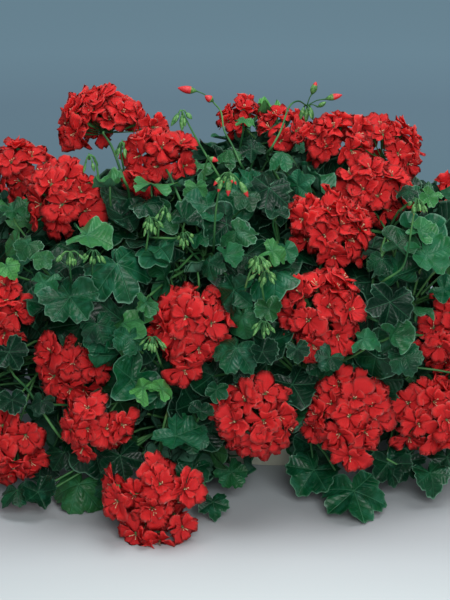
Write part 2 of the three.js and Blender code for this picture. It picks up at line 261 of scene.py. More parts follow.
def cream_plastic():
    """Pale cream plastic, a little chalky and scuffed, with splash marks below SPLASH_HEIGHT, in metres."""
    finish = Finish("cream_plastic")
    place = finish.place()
    scuff = finish.noise(place, scale=60.0, detail=6.0, roughness=0.65)
    grain = finish.noise(place, scale=900.0, detail=2.0)
    height = finish.part(place, "Z")
    splash = finish.ramp(scuff * 0.5 + (SPLASH_HEIGHT - height) * 9.0, 0.1, 0.6)
    tint = finish.mix(splash * 0.7, CREAM, CREAM_WORN)
    bump = finish.bump(grain + scuff, distance=0.0002, strength=0.5)
    return finish.surface(Base_Color=tint, Roughness=0.42 + scuff * 0.2, Normal=bump)


plastic = cream_plastic()
saucer_high = cad_span("saucer")[1]
saucer_radius = saucer_high[0]
saucer_height = saucer_high[2]
saucer_base = saucer_radius - SAUCER_FLARE
saucer_outline = rounded([
    (0, 0), (saucer_base, 0), (saucer_radius - LIP_WIDTH, saucer_height - LIP_FOOT),
    (saucer_radius, saucer_height - LIP_HEIGHT), (saucer_radius, saucer_height),
    (saucer_radius - SAUCER_WALL, saucer_height),
    (saucer_base - SAUCER_WALL + SAUCER_SLANT, SAUCER_FLOOR), (0, SAUCER_FLOOR),
], SAUCER_ROUNDING)
points, faces = turned(saucer_outline)
piece("saucer_dish", points, faces, plastic, replaces=["saucer"])

# Pot
# A round cream plastic pot with a band round its rim and drain holes in its base, moulded in one piece. Its
# wall leans outwards from the foot to the band.
POT_WALL = 4.0
POT_FLOOR = 5.0
POT_SLANT = 1.3
POT_ROUNDING = 1.6
POT_BASE_RADIUS = 84.0
POT_BODY_RADIUS = 117.0
POT_BAND_RADIUS = 123.0
POT_BAND_HEIGHT = 30.0
POT_BAND_STEP = 2.0
DRAIN_COUNT = 5
DRAIN_RADIUS = 7.0
DRAIN_CIRCLE = 48.0
DRAIN_TURN = 0.52
DRILL_LENGTH = 20
DRILL_START = 5
DRILL_SIDES = 24

pot_low, pot_high = cad_span("pot")
pot_foot, rim_height, rim_radius = pot_low[2], pot_high[2], pot_high[0]
band_foot = rim_height - POT_BAND_HEIGHT
pot_outline = rounded([
    (0, pot_foot), (POT_BASE_RADIUS, pot_foot), (POT_BODY_RADIUS, band_foot),
    (POT_BAND_RADIUS, band_foot + POT_BAND_STEP), (rim_radius, rim_height),
    (rim_radius - POT_WALL, rim_height), (POT_BASE_RADIUS - POT_WALL + POT_SLANT, pot_foot + POT_FLOOR),
    (0, pot_foot + POT_FLOOR),
], POT_ROUNDING)
points, faces = turned(pot_outline)
pot = piece("pot_shell", points, faces, plastic, replaces=["pot"])
drill_outline = np.array([(0, 0), (DRAIN_RADIUS, 0), (DRAIN_RADIUS, DRILL_LENGTH), (0, DRILL_LENGTH)])
drill_points, drill_faces = turned(drill_outline, DRILL_SIDES)
drill_rows = [row for rows in drill_faces for row in rows.tolist()]
for i in range(DRAIN_COUNT):
    angle = 2 * math.pi * (i + DRAIN_TURN) / DRAIN_COUNT
    start = [DRAIN_CIRCLE * math.cos(angle), DRAIN_CIRCLE * math.sin(angle), pot_foot - DRILL_START]
    drill = bpy.data.meshes.new("drill")
    drill.from_pydata(((drill_points + start) * MM).tolist(), [], drill_rows)
    cutter = bpy.data.objects.new("drill", drill)
    bpy.context.scene.collection.objects.link(cutter)
    cut = pot.modifiers.new("drain", "BOOLEAN")
    cut.operation = "DIFFERENCE"
    cut.object = cutter
    bpy.context.view_layer.objects.active = pot
    bpy.ops.object.modifier_apply(modifier=cut.name)
    bpy.data.objects.remove(cutter)

# Potting soil
# A dark mix of peat and bark that fills the pot to a little under its rim. It is filled in loose, so it rises
# to a low crest round the crown, and crumbs of it lie on top.
SOIL_DARK = (0.012, 0.008, 0.006, 1)
SOIL_PALE = (0.075, 0.048, 0.030, 1)
SOIL_RINGS = 26
SOIL_GAP = 0.4
SOIL_CREST = 5.0
SOIL_FOOT_SHARE = 0.7
SOIL_SEED = 13
CRUMBS = 260
CRUMB_SIZES = (1.0, 3.4)
CRUMB_SHAPES = (0.5, 1.0)
CRUMB_RISE = 0.6
CRUMB_MARGIN = 5

# The waves of the soil's surface: height, length and seed, how far they lie below the crest, and how far
# under the soil's edge a point still counts as surface
SOIL_WAVES = [(1.2, 31.0, 11), (0.9, 13.0, 12)]
SOIL_SAG = 0.6
SOIL_SKIN = 0.5


def ripple(places, wavelength, seed):
    """A smooth value from -1 to 1 at each place: the mean of three sine waves of the given length that run
    in seeded directions, sin(2 pi place . direction / wavelength + phase)."""
    random = np.random.default_rng(seed)
    waves = random.normal(size=(3, 3))
    waves *= 2 * np.pi / wavelength / np.linalg.norm(waves, axis=1, keepdims=True)
    return np.sin(places @ waves.T + random.uniform(0, 2 * np.pi, 3)).mean(axis=-1)


def potting_mix():
    """Dark peat with paler bark in it: coarse clods, and fine fibres that only roughen it."""
    finish = Finish("potting_mix")
    place = finish.place()
    clods = finish.noise(place, scale=140.0, detail=8.0, roughness=0.7)
    fibres = finish.noise(place, scale=700.0, detail=4.0, roughness=0.6)
    tint = finish.mix(finish.ramp(clods, 0.42, 0.72), SOIL_DARK, SOIL_PALE)
    bump = finish.bump(clods + fibres * 0.4, distance=0.004, strength=0.9)
    return finish.surface(Base_Color=tint, Roughness=0.75 + clods * 0.25, Normal=bump)


soil_low, soil_high = cad_span("potting_soil")
soil_radius, soil_top = soil_high[0] - SOIL_GAP, soil_high[2] - SOIL_CREST


def soil_height(reach):
    """Height of the soil at a distance from the pot's axis: a cone, highest in the middle."""
    return soil_top + SOIL_CREST * (1 - reach / soil_radius)


radii = np.linspace(0, soil_radius, SOIL_RINGS)[::-1]
soil_foot = [(0, soil_low[2]), (soil_radius * SOIL_FOOT_SHARE, soil_low[2])]
points, faces = turned(np.array([*soil_foot, *zip(radii, soil_height(radii))]))
on_top = points[:, 2] > soil_top - SOIL_SKIN
swell = sum(height * ripple(points, wavelength, seed) for height, wavelength, seed in SOIL_WAVES)
points[:, 2] += on_top * (swell - SOIL_SAG)

# A crumb has six corners, one each way along x, y and z, and each corner its own distance
random = np.random.default_rng(SOIL_SEED)
crumb = np.array([(1, 0, 0), (-1, 0, 0), (0, 1, 0), (0, -1, 0), (0, 0, 1), (0, 0, -1)], float)
crumb_faces = np.array([
    (0, 2, 4), (2, 1, 4), (1, 3, 4), (3, 0, 4), (2, 0, 5), (1, 2, 5), (3, 1, 5), (0, 3, 5),
])
spread = np.sqrt(random.uniform(0.03, 1, CRUMBS)) * (soil_radius - CRUMB_MARGIN)
around = random.uniform(0, 2 * np.pi, CRUMBS)
crumb_places = np.stack([
    spread * np.cos(around), spread * np.sin(around), soil_height(spread) + CRUMB_RISE,
], axis=1)
crumb_sizes = random.uniform(*CRUMB_SIZES, (CRUMBS, 1, 1)) * random.uniform(*CRUMB_SHAPES, (CRUMBS, 6, 1))
crumbs = crumb_places[:, None] + crumb * crumb_sizes
loose = crumb_faces + 6 * np.arange(CRUMBS)[:, None, None] + len(points)
faces.append(loose.reshape(-1, 3))
points = np.concatenate([points, crumbs.reshape(-1, 3)])
piece("potting_soil_filling", points, faces, potting_mix(), replaces=["potting_soil"])

# Woody crown
# The short old stem, brown, cracked and lumpy. It grows from the root in the soil, and every shoot springs
# from its thick head.
BARK_DARK = (0.050, 0.030, 0.018, 1)
BARK_PALE = (0.210, 0.150, 0.090, 1)
CROWN_SIDES = 48
CROWN_ROUNDING = 5.0
CROWN_ROUNDING_STEPS = 6
CROWN_HEAD_HEIGHT = 46.0
CROWN_TIP_RADIUS = 9

# The crown's outline: radius and height above its foot, then radius and height above the collar, then how far
# inside its CAD node and how high above the collar
ROOT_STUMP = [(5, 1), (10, 24)]
CROWN_WAIST = [(14, -4), (12, 9)]
CROWN_HEAD = [(0.4, 23), (1.5, 39)]

# Its lumps and the grain on them, as shares of its radius, and the factor that they widen it by at most
CROWN_LUMPS = 0.05
CROWN_GRAIN = 0.02
CROWN_BULGE = 1.02


def bark():
    """Old bark: cracks drawn out along the stem, over paler and darker patches."""
    finish = Finish("bark")
    place = finish.place()
    stretch = finish.node("ShaderNodeMapping", {}, {"Vector": place, "Scale": (1.0, 1.0, 0.25)})
    cracks = finish.noise(stretch, scale=420.0, detail=6.0, roughness=0.6)
    patches = finish.noise(place, scale=90.0)
    tint = finish.mix(finish.ramp(cracks * 0.7 + patches * 0.3, 0.38, 0.62), BARK_DARK, BARK_PALE)
    return finish.surface(
        Base_Color=tint, Roughness=0.7 + patches * 0.25, Normal=finish.bump(cracks, distance=0.0015),
    )


crown_low, crown_high = cad_span("woody_crown")
crown_radius = crown_high[0]
crown_foot, crown_top = crown_low[2], crown_high[2]
collar = crown_top - CROWN_HEAD_HEIGHT
crown_outline = rounded([
    (0, crown_foot), *((radius, crown_foot + rise) for radius, rise in ROOT_STUMP),
    *((radius, collar + rise) for radius, rise in CROWN_WAIST),
    *((crown_radius - inset, collar + rise) for inset, rise in CROWN_HEAD),
    (CROWN_TIP_RADIUS, crown_top), (0, crown_top - 1),
], CROWN_ROUNDING, CROWN_ROUNDING_STEPS)
points, faces = turned(crown_outline, CROWN_SIDES)
lumps = CROWN_LUMPS * ripple(points * [1, 1, 0.5], wavelength=14.0, seed=21)
bulge = 1 + lumps + CROWN_GRAIN * ripple(points, wavelength=5.0, seed=22)
points[:, :2] *= np.minimum(bulge, CROWN_BULGE)[:, None]
piece("woody_crown_bark", points, faces, bark(), replaces=["woody_crown"])

# Stems of the shoots
# Each shoot springs from the crown, rises over the rim and trails. The stem is green with bronze patches,
# thicker at its joints, and tapers to its tip.
MOUND_MIDDLE = np.array([-35.0, -10.0, 110.0])
MOUND_HALF_WIDTH = 305.0
MOUND_HALF_DEPTH = 235.0
MOUND_RISE = 212.0
MOUND_DROP = 104.0
MOUND_SQUARENESS = 2.3
SHOOT_START = 11.0
SHOOT_BEND = 39.0
SHOOT_BEND_RISE = 26.0
STEM_STEPS = 60
STEM_SIDES = 10
STEM_RADIUS = 3.4
STEM_TAPER = 1.9
JOINT_SPACING = 24.0
JOINT_SWELL = 0.28
JOINT_SHARPNESS = 90

# The shoots that trail and those that rise: how many, how far the first is turned, as a share of the angle
# between two, the heights above the collar that they spring from, and their course, as degrees from straight
# up and shares of the way out to the surface of the foliage
TRAILING = {"count": 9, "turn": 0.25, "tiers": (24, 12), "course": ((48, 0.62), (78, 0.68), (104, 0.72))}
RISING = {"count": 5, "turn": 0.55, "tiers": (36,), "course": ((30, 0.62), (52, 0.78))}


def mound_halves(offsets):
    """Half-sizes of the mound for offsets from its middle: it rises further than it drops."""
    halves = np.empty_like(offsets)
    halves[..., 0] = MOUND_HALF_WIDTH
    halves[..., 1] = MOUND_HALF_DEPTH
    halves[..., 2] = np.where(offsets[..., 2] > 0, MOUND_RISE, MOUND_DROP)
    return halves


def mound_level(places):
    """|x/a|^n + |y/b|^n + |z/c|^n about the mound's middle, which is 1 on the surface of the foliage."""
    offsets = places - MOUND_MIDDLE
    return (np.abs(offsets / mound_halves(offsets)) ** MOUND_SQUARENESS).sum(axis=-1)


def mound_point(directions, share=1.0):
    """The point at a share of the way from the mound's middle to its surface in each direction."""
    level = (np.abs(directions / mound_halves(directions)) ** MOUND_SQUARENESS).sum(axis=-1)
    return directions * (share * level ** (-1 / MOUND_SQUARENESS))[..., None] + MOUND_MIDDLE


def unit(vectors):
    return vectors / np.linalg.norm(vectors, axis=-1, keepdims=True)


def mound_normal(places):
    """Outward direction of the surface: the slope of mound_level, scaled to length 1."""
    offsets = places - MOUND_MIDDLE
    halves = mound_halves(offsets)
    return unit(np.sign(offsets) * np.abs(offsets / halves) ** (MOUND_SQUARENESS - 1) / halves)


def eased_line(knots, t):
    """Points at t, from 0 to 1, of the curve through knots (..., k, 3): a Catmull-Rom spline whose pace
    between two knots is the square root of their distance."""
    ends = [2 * knots[..., :1, :] - knots[..., 1:2, :], 2 * knots[..., -1:, :] - knots[..., -2:-1, :]]
    padded = np.concatenate([ends[0], knots, ends[1]], axis=-2)
    spans = knots.shape[-2] - 1
    span = np.minimum((t * spans).astype(int), spans - 1)
    w = (t * spans - span)[:, None]
    a, b, c, d = (padded[..., span + i, :] for i in range(4))
    p, q, r = (np.linalg.norm(y - x, axis=-1, keepdims=True) ** 0.5 for x, y in ((a, b), (b, c), (c, d)))
    leave = ((b - a) / p - (c - a) / (p + q) + (c - b) / q) * q
    arrive = ((c - b) / q - (d - b) / (q + r) + (d - c) / r) * q
    square = 3 * (c - b) - 2 * leave - arrive
    cube = 2 * (b - c) + leave + arrive
    return b + leave * w + square * w ** 2 + cube * w ** 3


def shoot_knots(count, turn, tiers, course):
    """The knots of each shoot's stem, out of the crown and then along the inside of the mound."""
    knots = []
    for i in range(count):
        azimuth = 2 * math.pi * (i + turn) / count
        out = np.array([math.cos(azimuth), math.sin(azimuth), 0.0])
        start = out * SHOOT_START + [0, 0, collar + tiers[i % len(tiers)]]
        bend = out * SHOOT_BEND + [0, 0, start[2] + SHOOT_BEND_RISE]
        polar = [math.radians(degrees) for degrees, share in course]
        along = [out * math.sin(p) + [0, 0, math.cos(p)] for p in polar]
        points = [mound_point(way, share) for way, (degrees, share) in zip(along, course)]
        knots.append(np.array([start, bend, *points]))
    return knots


def tubes(paths, radii, sides):
    """Closed round stems: points (n, m, 3) along each path, radii (n, m), and a ring of the given sides at
    each point, square to the path. A ring's first side is carried along without twisting."""
    count, steps = paths.shape[:2]
    ahead = unit(np.gradient(paths, axis=1))
    start = np.where(np.abs(ahead[:, 0, 2:]) > 0.9, [[1.0, 0, 0]], [[0, 0, 1.0]])
    first = np.empty_like(paths)
    side = unit(np.cross(ahead[:, 0], start))
    for k in range(steps):
        side = unit(side - (side * ahead[:, k]).sum(axis=1, keepdims=True) * ahead[:, k])
        first[:, k] = side
    second = np.cross(ahead, first)
    angle = 2 * np.pi * np.arange(sides) / sides
    ring = first[:, :, None] * np.cos(angle)[:, None] + second[:, :, None] * np.sin(angle)[:, None]
    body = paths[:, :, None] + ring * radii[:, :, None, None]
    caps = paths[:, [0, -1]] + ahead[:, [0, -1]] * radii[:, [0, -1], None] * [[[-0.5], [0.5]]]
    points = np.concatenate([body.reshape(count, -1, 3), caps], axis=1)
    return points, ring_faces(steps, sides)


def copied(points, faces):
    """The points of n like bodies (n, m, 3) in one list, with the faces of one repeated for each."""
    step = points.shape[1] * np.arange(len(points))[:, None, None]
    return points.reshape(-1, 3), [(rows + step).reshape(-1, rows.shape[1]) for rows in faces]


def stalks_along(paths, radii, sides):
    """Closed round stems along paths (n, m, 3) as one body, with the same m radii along each path."""
    return copied(*tubes(paths, np.broadcast_to(radii, paths.shape[:2]), sides))


def joined(parts):
    """Several bodies' points and faces as one list of each."""
    points, faces, start = [], [], 0
    for some, rows in parts:
        points.append(some)
        faces += [r + start for r in rows]
        start += len(some)
    return np.concatenate(points), faces


STEM_GREEN = (0.014, 0.085, 0.026, 1)
STEM_PALE = (0.075, 0.230, 0.065, 1)
STEM_BRONZE = (0.130, 0.090, 0.040, 1)


def green_stem():
    """Green stem skin with paler and bronze patches, and fine hairs that take its gloss away."""
    finish = Finish("green_stem")
    place = finish.place()
    patches = finish.noise(place, scale=28.0)
    hairs = finish.noise(place, scale=1500.0, detail=2.0)
    green = finish.mix(finish.ramp(patches, 0.35, 0.7), STEM_GREEN, STEM_PALE)
    tint = finish.mix(finish.ramp(patches, 0.62, 0.78) * 0.5, green, STEM_BRONZE)
    return finish.surface(
        Base_Color=tint, Roughness=0.45 + hairs * 0.15,
        Normal=finish.bump(hairs, distance=0.0003, strength=0.6), Specular_IOR_Level=0.3,
    )


stem_material = green_stem()
shoot_courses = [*shoot_knots(**TRAILING), *shoot_knots(**RISING)]
stem_pace = np.linspace(0, 1, STEM_STEPS)
stem_lines = [eased_line(knots, stem_pace) for knots in shoot_courses]
stem_bodies = []
for line in stem_lines:
    reach = np.concatenate([[0], np.cumsum(np.linalg.norm(np.diff(line, axis=0), axis=1))])
    joint = np.exp(-((reach / JOINT_SPACING + 0.5) % 1 - 0.5) ** 2 * JOINT_SHARPNESS)
    radii = (STEM_RADIUS - STEM_TAPER * reach / reach[-1]) * (1 + JOINT_SWELL * joint)
    stem_bodies.append(stalks_along(line[None], radii, STEM_SIDES))

# Flower heads
# Each head is a stalk that ends in a spray of thin flower stalks. Each of those carries a half-double flower:
# a green calyx, five broad wavy scarlet petals, three shorter ones, and a few pale stamens.
GOLDEN_ANGLE = math.pi * (3 - math.sqrt(5))
SEEN_HEADS = 22
SEEN_DETAIL = {"steps": 4, "spans": 8, "florets": 20, "stamens": 3}
HIDDEN_DETAIL = {"steps": 3, "spans": 6, "florets": 14, "stamens": 2}
HEAD_SEED = 500
HEAD_OUTWARD = 0.8
HEAD_UPWARD = 0.3
HEAD_SPREAD = math.radians(124)
SPREAD_SWAY = 0.09
HEAD_SHELL = (0.60, 0.86)
HEAD_FULLNESS = {15: 0.32, 17: 0.62, 1: 1.30, 10: 1.15, 9: 1.1}
USUAL_SIZE = 39.0
SMALL_SIZE = 34.0
FEWEST_FLORETS = 5
FLORETS_BY_SIZE = 1.6
HUB_DEPTH = 0.45
STRAY_FRONT = 0.7
FLORET_SWAY = 0.20
FLOOR_GAP = 0.6
OUTER_PETALS = 5
OUTER_TILTS = (60, 92)
OUTER_LENGTHS = (16, 23)
INNER_PETALS = 3
INNER_TILTS = (38, 66)
INNER_LENGTHS = (12, 17)
PETAL_SWAY = 0.16
PETAL_TONES = (0.2, 0.9)
TONE_SWAY = 0.12
PETAL_THICKNESS = 0.03
PETAL_TRAITS = {
    "spread": (0.58, 0.80), "cup": (-0.14, 0.16), "curl": (-0.14, 0.26), "ruffle": (0.06, 0.17),
    "phase": (0, 6.28), "notch": (0, 0.13), "pace": (2.4, 5.4), "skew": (-0.14, 0.14),
    "scallop": (-0.08, 0.08),
}

# The stalks of heads and of single flowers, and the stamens. Their lengths and radii are in millimetres.
STALK_REACH = 115.0
STALK_LIFT = 14.0
STALK_RADII = (1.5, 1.0)
STALK_STEPS = 20
STALK_SIDES = 8
PEDICEL_LIFT = -2.0
PEDICEL_RADII = (0.7, 0.6, 0.6, 1.3, 2.2)
PEDICEL_SIDES = 5
STAMEN_LENGTHS = (4.5, 7.5)
STAMEN_SWAY = 0.30
STAMEN_STEPS = (0, 0.80, 1.0)
STAMEN_RADII = (0.32, 0.30, 0.60)
STAMEN_SIDES = 4

# Where the picture was taken from, so that a piece can be put where it shows: how far the view looks down,
# how far off it is, the point that it looks at and the pixel in the middle of the frame
SIGHT_TILT = math.radians(18)
SIGHT_DISTANCE = 1900.0
SIGHT_AIM = np.array([-50.0, 0.0, 139.5])
FRAME_MIDDLE = (225.0, 300.0)
screen_up = np.array([0, math.sin(SIGHT_TILT), math.cos(SIGHT_TILT)])
along_sight = np.array([0, math.cos(SIGHT_TILT), -math.sin(SIGHT_TILT)])

# The depths at which a line of sight is tried for foliage, the lowest height of foliage, and what is added to
# the mound's level under that height
SIGHT_DEPTHS = np.arange(-262.0, 240.0, 3.0)
FOLIAGE_LOWEST = 6
OUTSIDE_LEVEL = 9

# Flowers that stand out of their head in the picture: the head's number, the pixel of the flower's middle,
# and how far it faces to the right and down, as shares of how far it faces the viewer
Stray = namedtuple("Stray", "head px py aside down")
STRAY_FLORETS = [
    Stray(19, 350, 456, 0.0, 0.8), Stray(15, 87, 428, -0.1, 0.4), Stray(15, 121, 424, 1.2, 0.4),
    Stray(15, 88, 408, -0.2, -0.4), Stray(1, 75, 133, -0.7, 0.5), Stray(1, 153, 127, 0.8, 0.4),
    Stray(2, 137, 181, -0.3, 0.9), Stray(17, 118, 501, -0.8, 0.3), Stray(17, 184, 489, 0.9, 0.0),
    Stray(10, 303, 219, -0.8, 0.1), Stray(8, 408, 164, 0.8, 0.5), Stray(14, 51, 351, -0.8, -0.4),
    Stray(17, 160, 484, 0.1, -0.2), Stray(17, 152, 508, -0.1, 0.2), Stray(17, 136, 534, -0.4, 0.6),
    Stray(17, 182, 527, 0.7, 0.4), Stray(17, 160, 541, 0.1, 0.8), Stray(10, 334, 256, 0.1, 0.7),
    Stray(11, 313, 345, 0.0, 0.8), Stray(12, 184, 370, -0.1, 0.8), Stray(14, 72, 362, 0.0, 0.1),
    Stray(14, 94, 366, 0.6, -0.1),
]

# Stalks that the picture shows, by the head's number: pixels from the head down to where the stalk enters the
# foliage. From there it runs on, and back to a joint of a stem.
HEAD_WAYS = {
    1: [(103, 133), (112, 147), (124, 180)], 2: [(168, 172), (180, 200)], 9: [(388, 236), (381, 257)],
    13: [(10, 368), (28, 390), (55, 430)], 21: [(415, 335), (375, 320)],
}
WAY_IN = 8.0
WAY_ON = 12.0
WAY_BACK = 24.0
WAY_REACH = 60.0
WAY_LIFT = 6.0

# How the joint that a stalk springs from is chosen: the nearest ones that are tried, how strongly one behind
# a leaf is favoured, how many points of each stalk are tested for being inside a head, and what a head's size
# is divided by and multiplied with in that test
SPRING_CHOICES = 24
BEHIND_FAVOUR = 30.0
SPRING_TESTS = 11
HEAD_CORE = 0.98
HEAD_BERTH = 1.12


def sight_line(px, py, y):
    """Places seen at a pixel, at a distance y from the pot's axis. With k = (middle - py) / distance, the
    height above the aim is (k (distance + y cos) - y sin) / (cos + k sin)."""
    c, s = math.cos(SIGHT_TILT), math.sin(SIGHT_TILT)
    k = (FRAME_MIDDLE[1] - py) / SIGHT_DISTANCE
    rise = (k * (SIGHT_DISTANCE + y * c) - y * s) / (c + k * s)
    x = SIGHT_AIM[0] + (px - FRAME_MIDDLE[0]) / SIGHT_DISTANCE * (SIGHT_DISTANCE + y * c - rise * s)
    return np.stack(np.broadcast_arrays(x, y, SIGHT_AIM[2] + rise), axis=-1)


def mound_sight(px, py):
    """Where the line of sight through each pixel first meets the foliage, or passes nearest to it."""
    line = sight_line(px[:, None], py[:, None], SIGHT_DEPTHS[None])
    level = mound_level(line)
    level[line[..., 2] < FOLIAGE_LOWEST] += OUTSIDE_LEVEL
    inside = level < 1
    first = np.where(inside.any(axis=1), np.argmax(inside, axis=1), np.argmin(level, axis=1))
    return line[np.arange(len(px)), first]


def head_places():
    """Middle and half-sizes, in millimetres, of each flower head's CAD node."""
    names = sorted(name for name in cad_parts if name.startswith("flower_head"))
    spans = np.array([cad_span(name) for name in names])
    return names, spans.mean(axis=1), (spans[:, 1] - spans[:, 0]) / 2


def bowed(start, end, lift):
    """Knots of stalks that bow upwards by lift between start and end."""
    start, end = np.broadcast_arrays(start, end)
    return np.stack([start, (start + end) / 2 + [0, 0, lift], end], axis=-2)


head_names, head_middles, head_halves = head_places()

# The joints that stalks and leaves may spring from, at twentieths of each stem's course
joint_pace = np.arange(5, 21) / 20
stem_joints = np.concatenate([eased_line(knots, joint_pace) for knots in shoot_courses])
joint_shoot = np.repeat(np.arange(len(shoot_courses)), len(joint_pace))
joint_reach = np.linalg.norm(stem_joints - MOUND_MIDDLE, axis=1)


def spring_points(tips, length, lift, own_head=None, behind=None):
    """For each tip the joint on a stem whose distance is nearest to length, not further out than the tip,
    on the side that behind points to, and from which a bowed stalk passes clear of the other flower heads."""
    way = stem_joints - tips[:, None]
    away = np.linalg.norm(way, axis=2)
    beyond = joint_reach - np.linalg.norm(tips - MOUND_MIDDLE, axis=1)[:, None]
    cost = np.abs(away - length) + np.maximum(0, beyond)
    if behind is not None:
        cost -= BEHIND_FAVOUR * np.einsum("njk,nk->nj", way, behind) / away
    order = np.argsort(cost, axis=1, kind="stable")[:, :SPRING_CHOICES]
    stalks = eased_line(bowed(stem_joints[order], tips[:, None], lift), np.linspace(0, 1, SPRING_TESTS))
    offset = (stalks[:, :, :, None] - head_middles) / (head_halves / HEAD_CORE)
    inside = (offset ** 2).sum(axis=-1).min(axis=2) < HEAD_BERTH ** 2
    if own_head is not None:
        inside[np.arange(len(tips)), :, own_head] = False
    blocked = inside.any(axis=2)
    choice = np.where(blocked.all(axis=1), 0, np.argmin(blocked, axis=1))
    return order[np.arange(len(tips)), choice]


def seen_stalk(pixels, front, end):
    """Knots of a stalk from a stem joint, up the way that the picture shows, to its end. The depth goes
    evenly from front, where the stalk ends, to the foliage, where it goes in."""
    px, py = np.array(pixels, float).T
    entry = mound_sight(px[-1:], py[-1:])[0, 1] + WAY_IN
    places = sight_line(px, py, front + (entry - front) * (np.arange(len(px)) + 1) / len(px))
    ahead = unit(places[-1] - (places[-2] if len(px) > 1 else end))
    last = places[-1] + ahead * WAY_ON + along_sight * WAY_BACK
    joint = stem_joints[spring_points(last[None], WAY_REACH, WAY_LIFT)[0]]
    return np.array([joint, last, *places[::-1], end])


def petal_patch(steps, spans):
    """Faces of a closed petal that fans out from its claw: the upper and the lower skin share their rim."""
    upper = 1 + np.arange(steps * (spans + 1)).reshape(steps, spans + 1)
    lower = upper.copy()
    inner = (steps - 1, spans - 1)
    lower[:-1, 1:-1] = 1 + upper.size + np.arange(inner[0] * inner[1]).reshape(inner)

    def skin(index):
        walls = np.stack([index[:-1, :-1], index[:-1, 1:], index[1:, 1:], index[1:, :-1]], axis=-1)
        claw = np.stack([np.zeros(spans, int), index[0, 1:], index[0, :-1]], axis=1)
        return [walls.reshape(-1, 4), claw]

    return skin(upper) + [rows[:, ::-1] for rows in skin(lower)]


def drawn_traits(ranges, count, random):
    """For each named range a value to each of count bodies, drawn evenly, in the order of the names."""
    return [random.uniform(low, high, count)[:, None, None] for low, high in ranges.values()]


def petals(base, axis, around, tilt, length, steps, spans, random):
    """Closed petals that fan out from the claw, u from claw to tip and v across from -1 to 1, times length:
    reach = 1 - 0.32 |v|^2.6 - notch (1 - v^2)^6 + scallop u^3 cos(3 pi v), y = reach u cos(v spread),
    x = reach u^1.15 sin(v spread) + skew u^2, and z = cup v^2 u - curl u^2 + 0.034 u cos(2.5 pi v) +
    ruffle u^1.6 sin(pace v + 2.5 u + phase)."""
    count = len(base)
    u = ((np.arange(steps) + 1) / steps)[None, :, None]
    v = np.linspace(-1, 1, spans + 1)[None, None, :]
    spread, cup, curl, ruffle, phase, notch, pace, skew, scallop = drawn_traits(PETAL_TRAITS, count, random)
    reach = 1 - 0.32 * np.abs(v) ** 2.6 - notch * (1 - v ** 2) ** 6 + scallop * u ** 3 * np.cos(3 * np.pi * v)
    x = reach * u ** 1.15 * np.sin(v * spread) + skew * u ** 2
    y = reach * u * np.cos(v * spread)
    z = cup * v ** 2 * u - curl * u ** 2 + ruffle * u ** 1.6 * np.sin(pace * v + 2.5 * u + phase)
    z = z + 0.034 * u * np.cos(2.5 * np.pi * v)
    upper = np.stack(np.broadcast_arrays(x, y, z), axis=-1)
    lower = upper[:, :-1, 1:-1] - [0, 0, PETAL_THICKNESS]
    claw = np.zeros((count, 1, 3))
    local = np.concatenate([claw, upper.reshape(count, -1, 3), lower.reshape(count, -1, 3)], axis=1)
    out = np.cos(tilt)[:, None] * axis + np.sin(tilt)[:, None] * around
    up = np.sin(tilt)[:, None] * axis - np.cos(tilt)[:, None] * around
    axes = np.stack([np.cross(out, up), out, up], axis=1)
    points = base[:, None] + np.einsum("nij,njk->nik", local * length[:, None, None], axes)
    grid_u = np.broadcast_to(u[0], upper.shape[1:3])
    grid_v = np.broadcast_to(v[0], upper.shape[1:3])
    along = np.concatenate([[0.0], grid_u.ravel(), grid_u[:-1, 1:-1].ravel()])
    across = np.concatenate([[0.0], grid_v.ravel(), grid_v[:-1, 1:-1].ravel()])
    return points, along, across


PETAL_SCARLET = (0.580, 0.0215, 0.0230, 1)
PETAL_DEEP = (0.520, 0.0190, 0.0220, 1)
PETAL_WARM = (0.600, 0.0280, 0.0270, 1)
# The lighter red of a petal's outer edge is a painted highlight.
PETAL_RIM_HIGHLIGHT = (0.640, 0.0540, 0.0500, 1)
PETAL_CLAW = (0.600, 0.1500, 0.1400, 1)


def scarlet_petal():
    """Petal skin: v runs from claw to tip and u across. Fine darker veins fan out to the tip, and the
    outer edge is painted a lighter red, a painted highlight.
    """
    finish = Finish("scarlet_petal")
    blade = finish.node("ShaderNodeUVMap", {"uv_map": "blade"})
    across = finish.part(blade, "X")
    along = finish.part(blade, "Y")
    tone = finish.mark("tone")
    soft = finish.noise(finish.place(), scale=90.0, detail=2.0)
    fan = finish.node("ShaderNodeCombineXYZ", {}, {"X": across * 9.0, "Y": along * 0.8, "Z": tone * 40.0})
    veins = finish.noise(fan, scale=1.6)
    red = finish.mix(finish.ramp(soft * 0.55 + tone * 0.55, 0.2, 0.9), PETAL_DEEP, PETAL_SCARLET)
    red = finish.mix(finish.ramp(along * 0.7 + soft * 0.5, 0.55, 1.15) * 0.8, red, PETAL_WARM)
    red = finish.mix(finish.ramp(veins, 0.50, 0.68) * 0.45 * (1 - along * 0.4), red, PETAL_DEEP)
    # Painted highlight: the outer edge of each petal is painted a lighter red.
    red = finish.mix(finish.ramp(along, 0.84, 1.0) * (0.2 + soft * 0.8), red, PETAL_RIM_HIGHLIGHT)
    red = finish.mix((1 - finish.ramp(along, 0.02, 0.22)) * 0.6, red, PETAL_CLAW)
    return finish.surface(
        Base_Color=red, Roughness=0.62 + veins * 0.14,
        Normal=finish.bump(veins, distance=0.0008, strength=0.7), Specular_IOR_Level=0.10,
        Subsurface_Weight=0.35, Subsurface_Radius=(1.0, 0.12, 0.10), Subsurface_Scale=0.004,
    )


STAMEN_BROWN = (0.50, 0.20, 0.10, 1)
STAMEN_CREAM = (0.62, 0.58, 0.34, 1)


def pale_stamen():
    """Cream stamens with brown specks of pollen."""
    finish = Finish("pale_stamen")
    speckle = finish.noise(finish.place(), scale=800.0, detail=2.0)
    tint = finish.mix(speckle, STAMEN_BROWN, STAMEN_CREAM)
    return finish.surface(Base_Color=tint, Roughness=0.5 + speckle * 0.2)


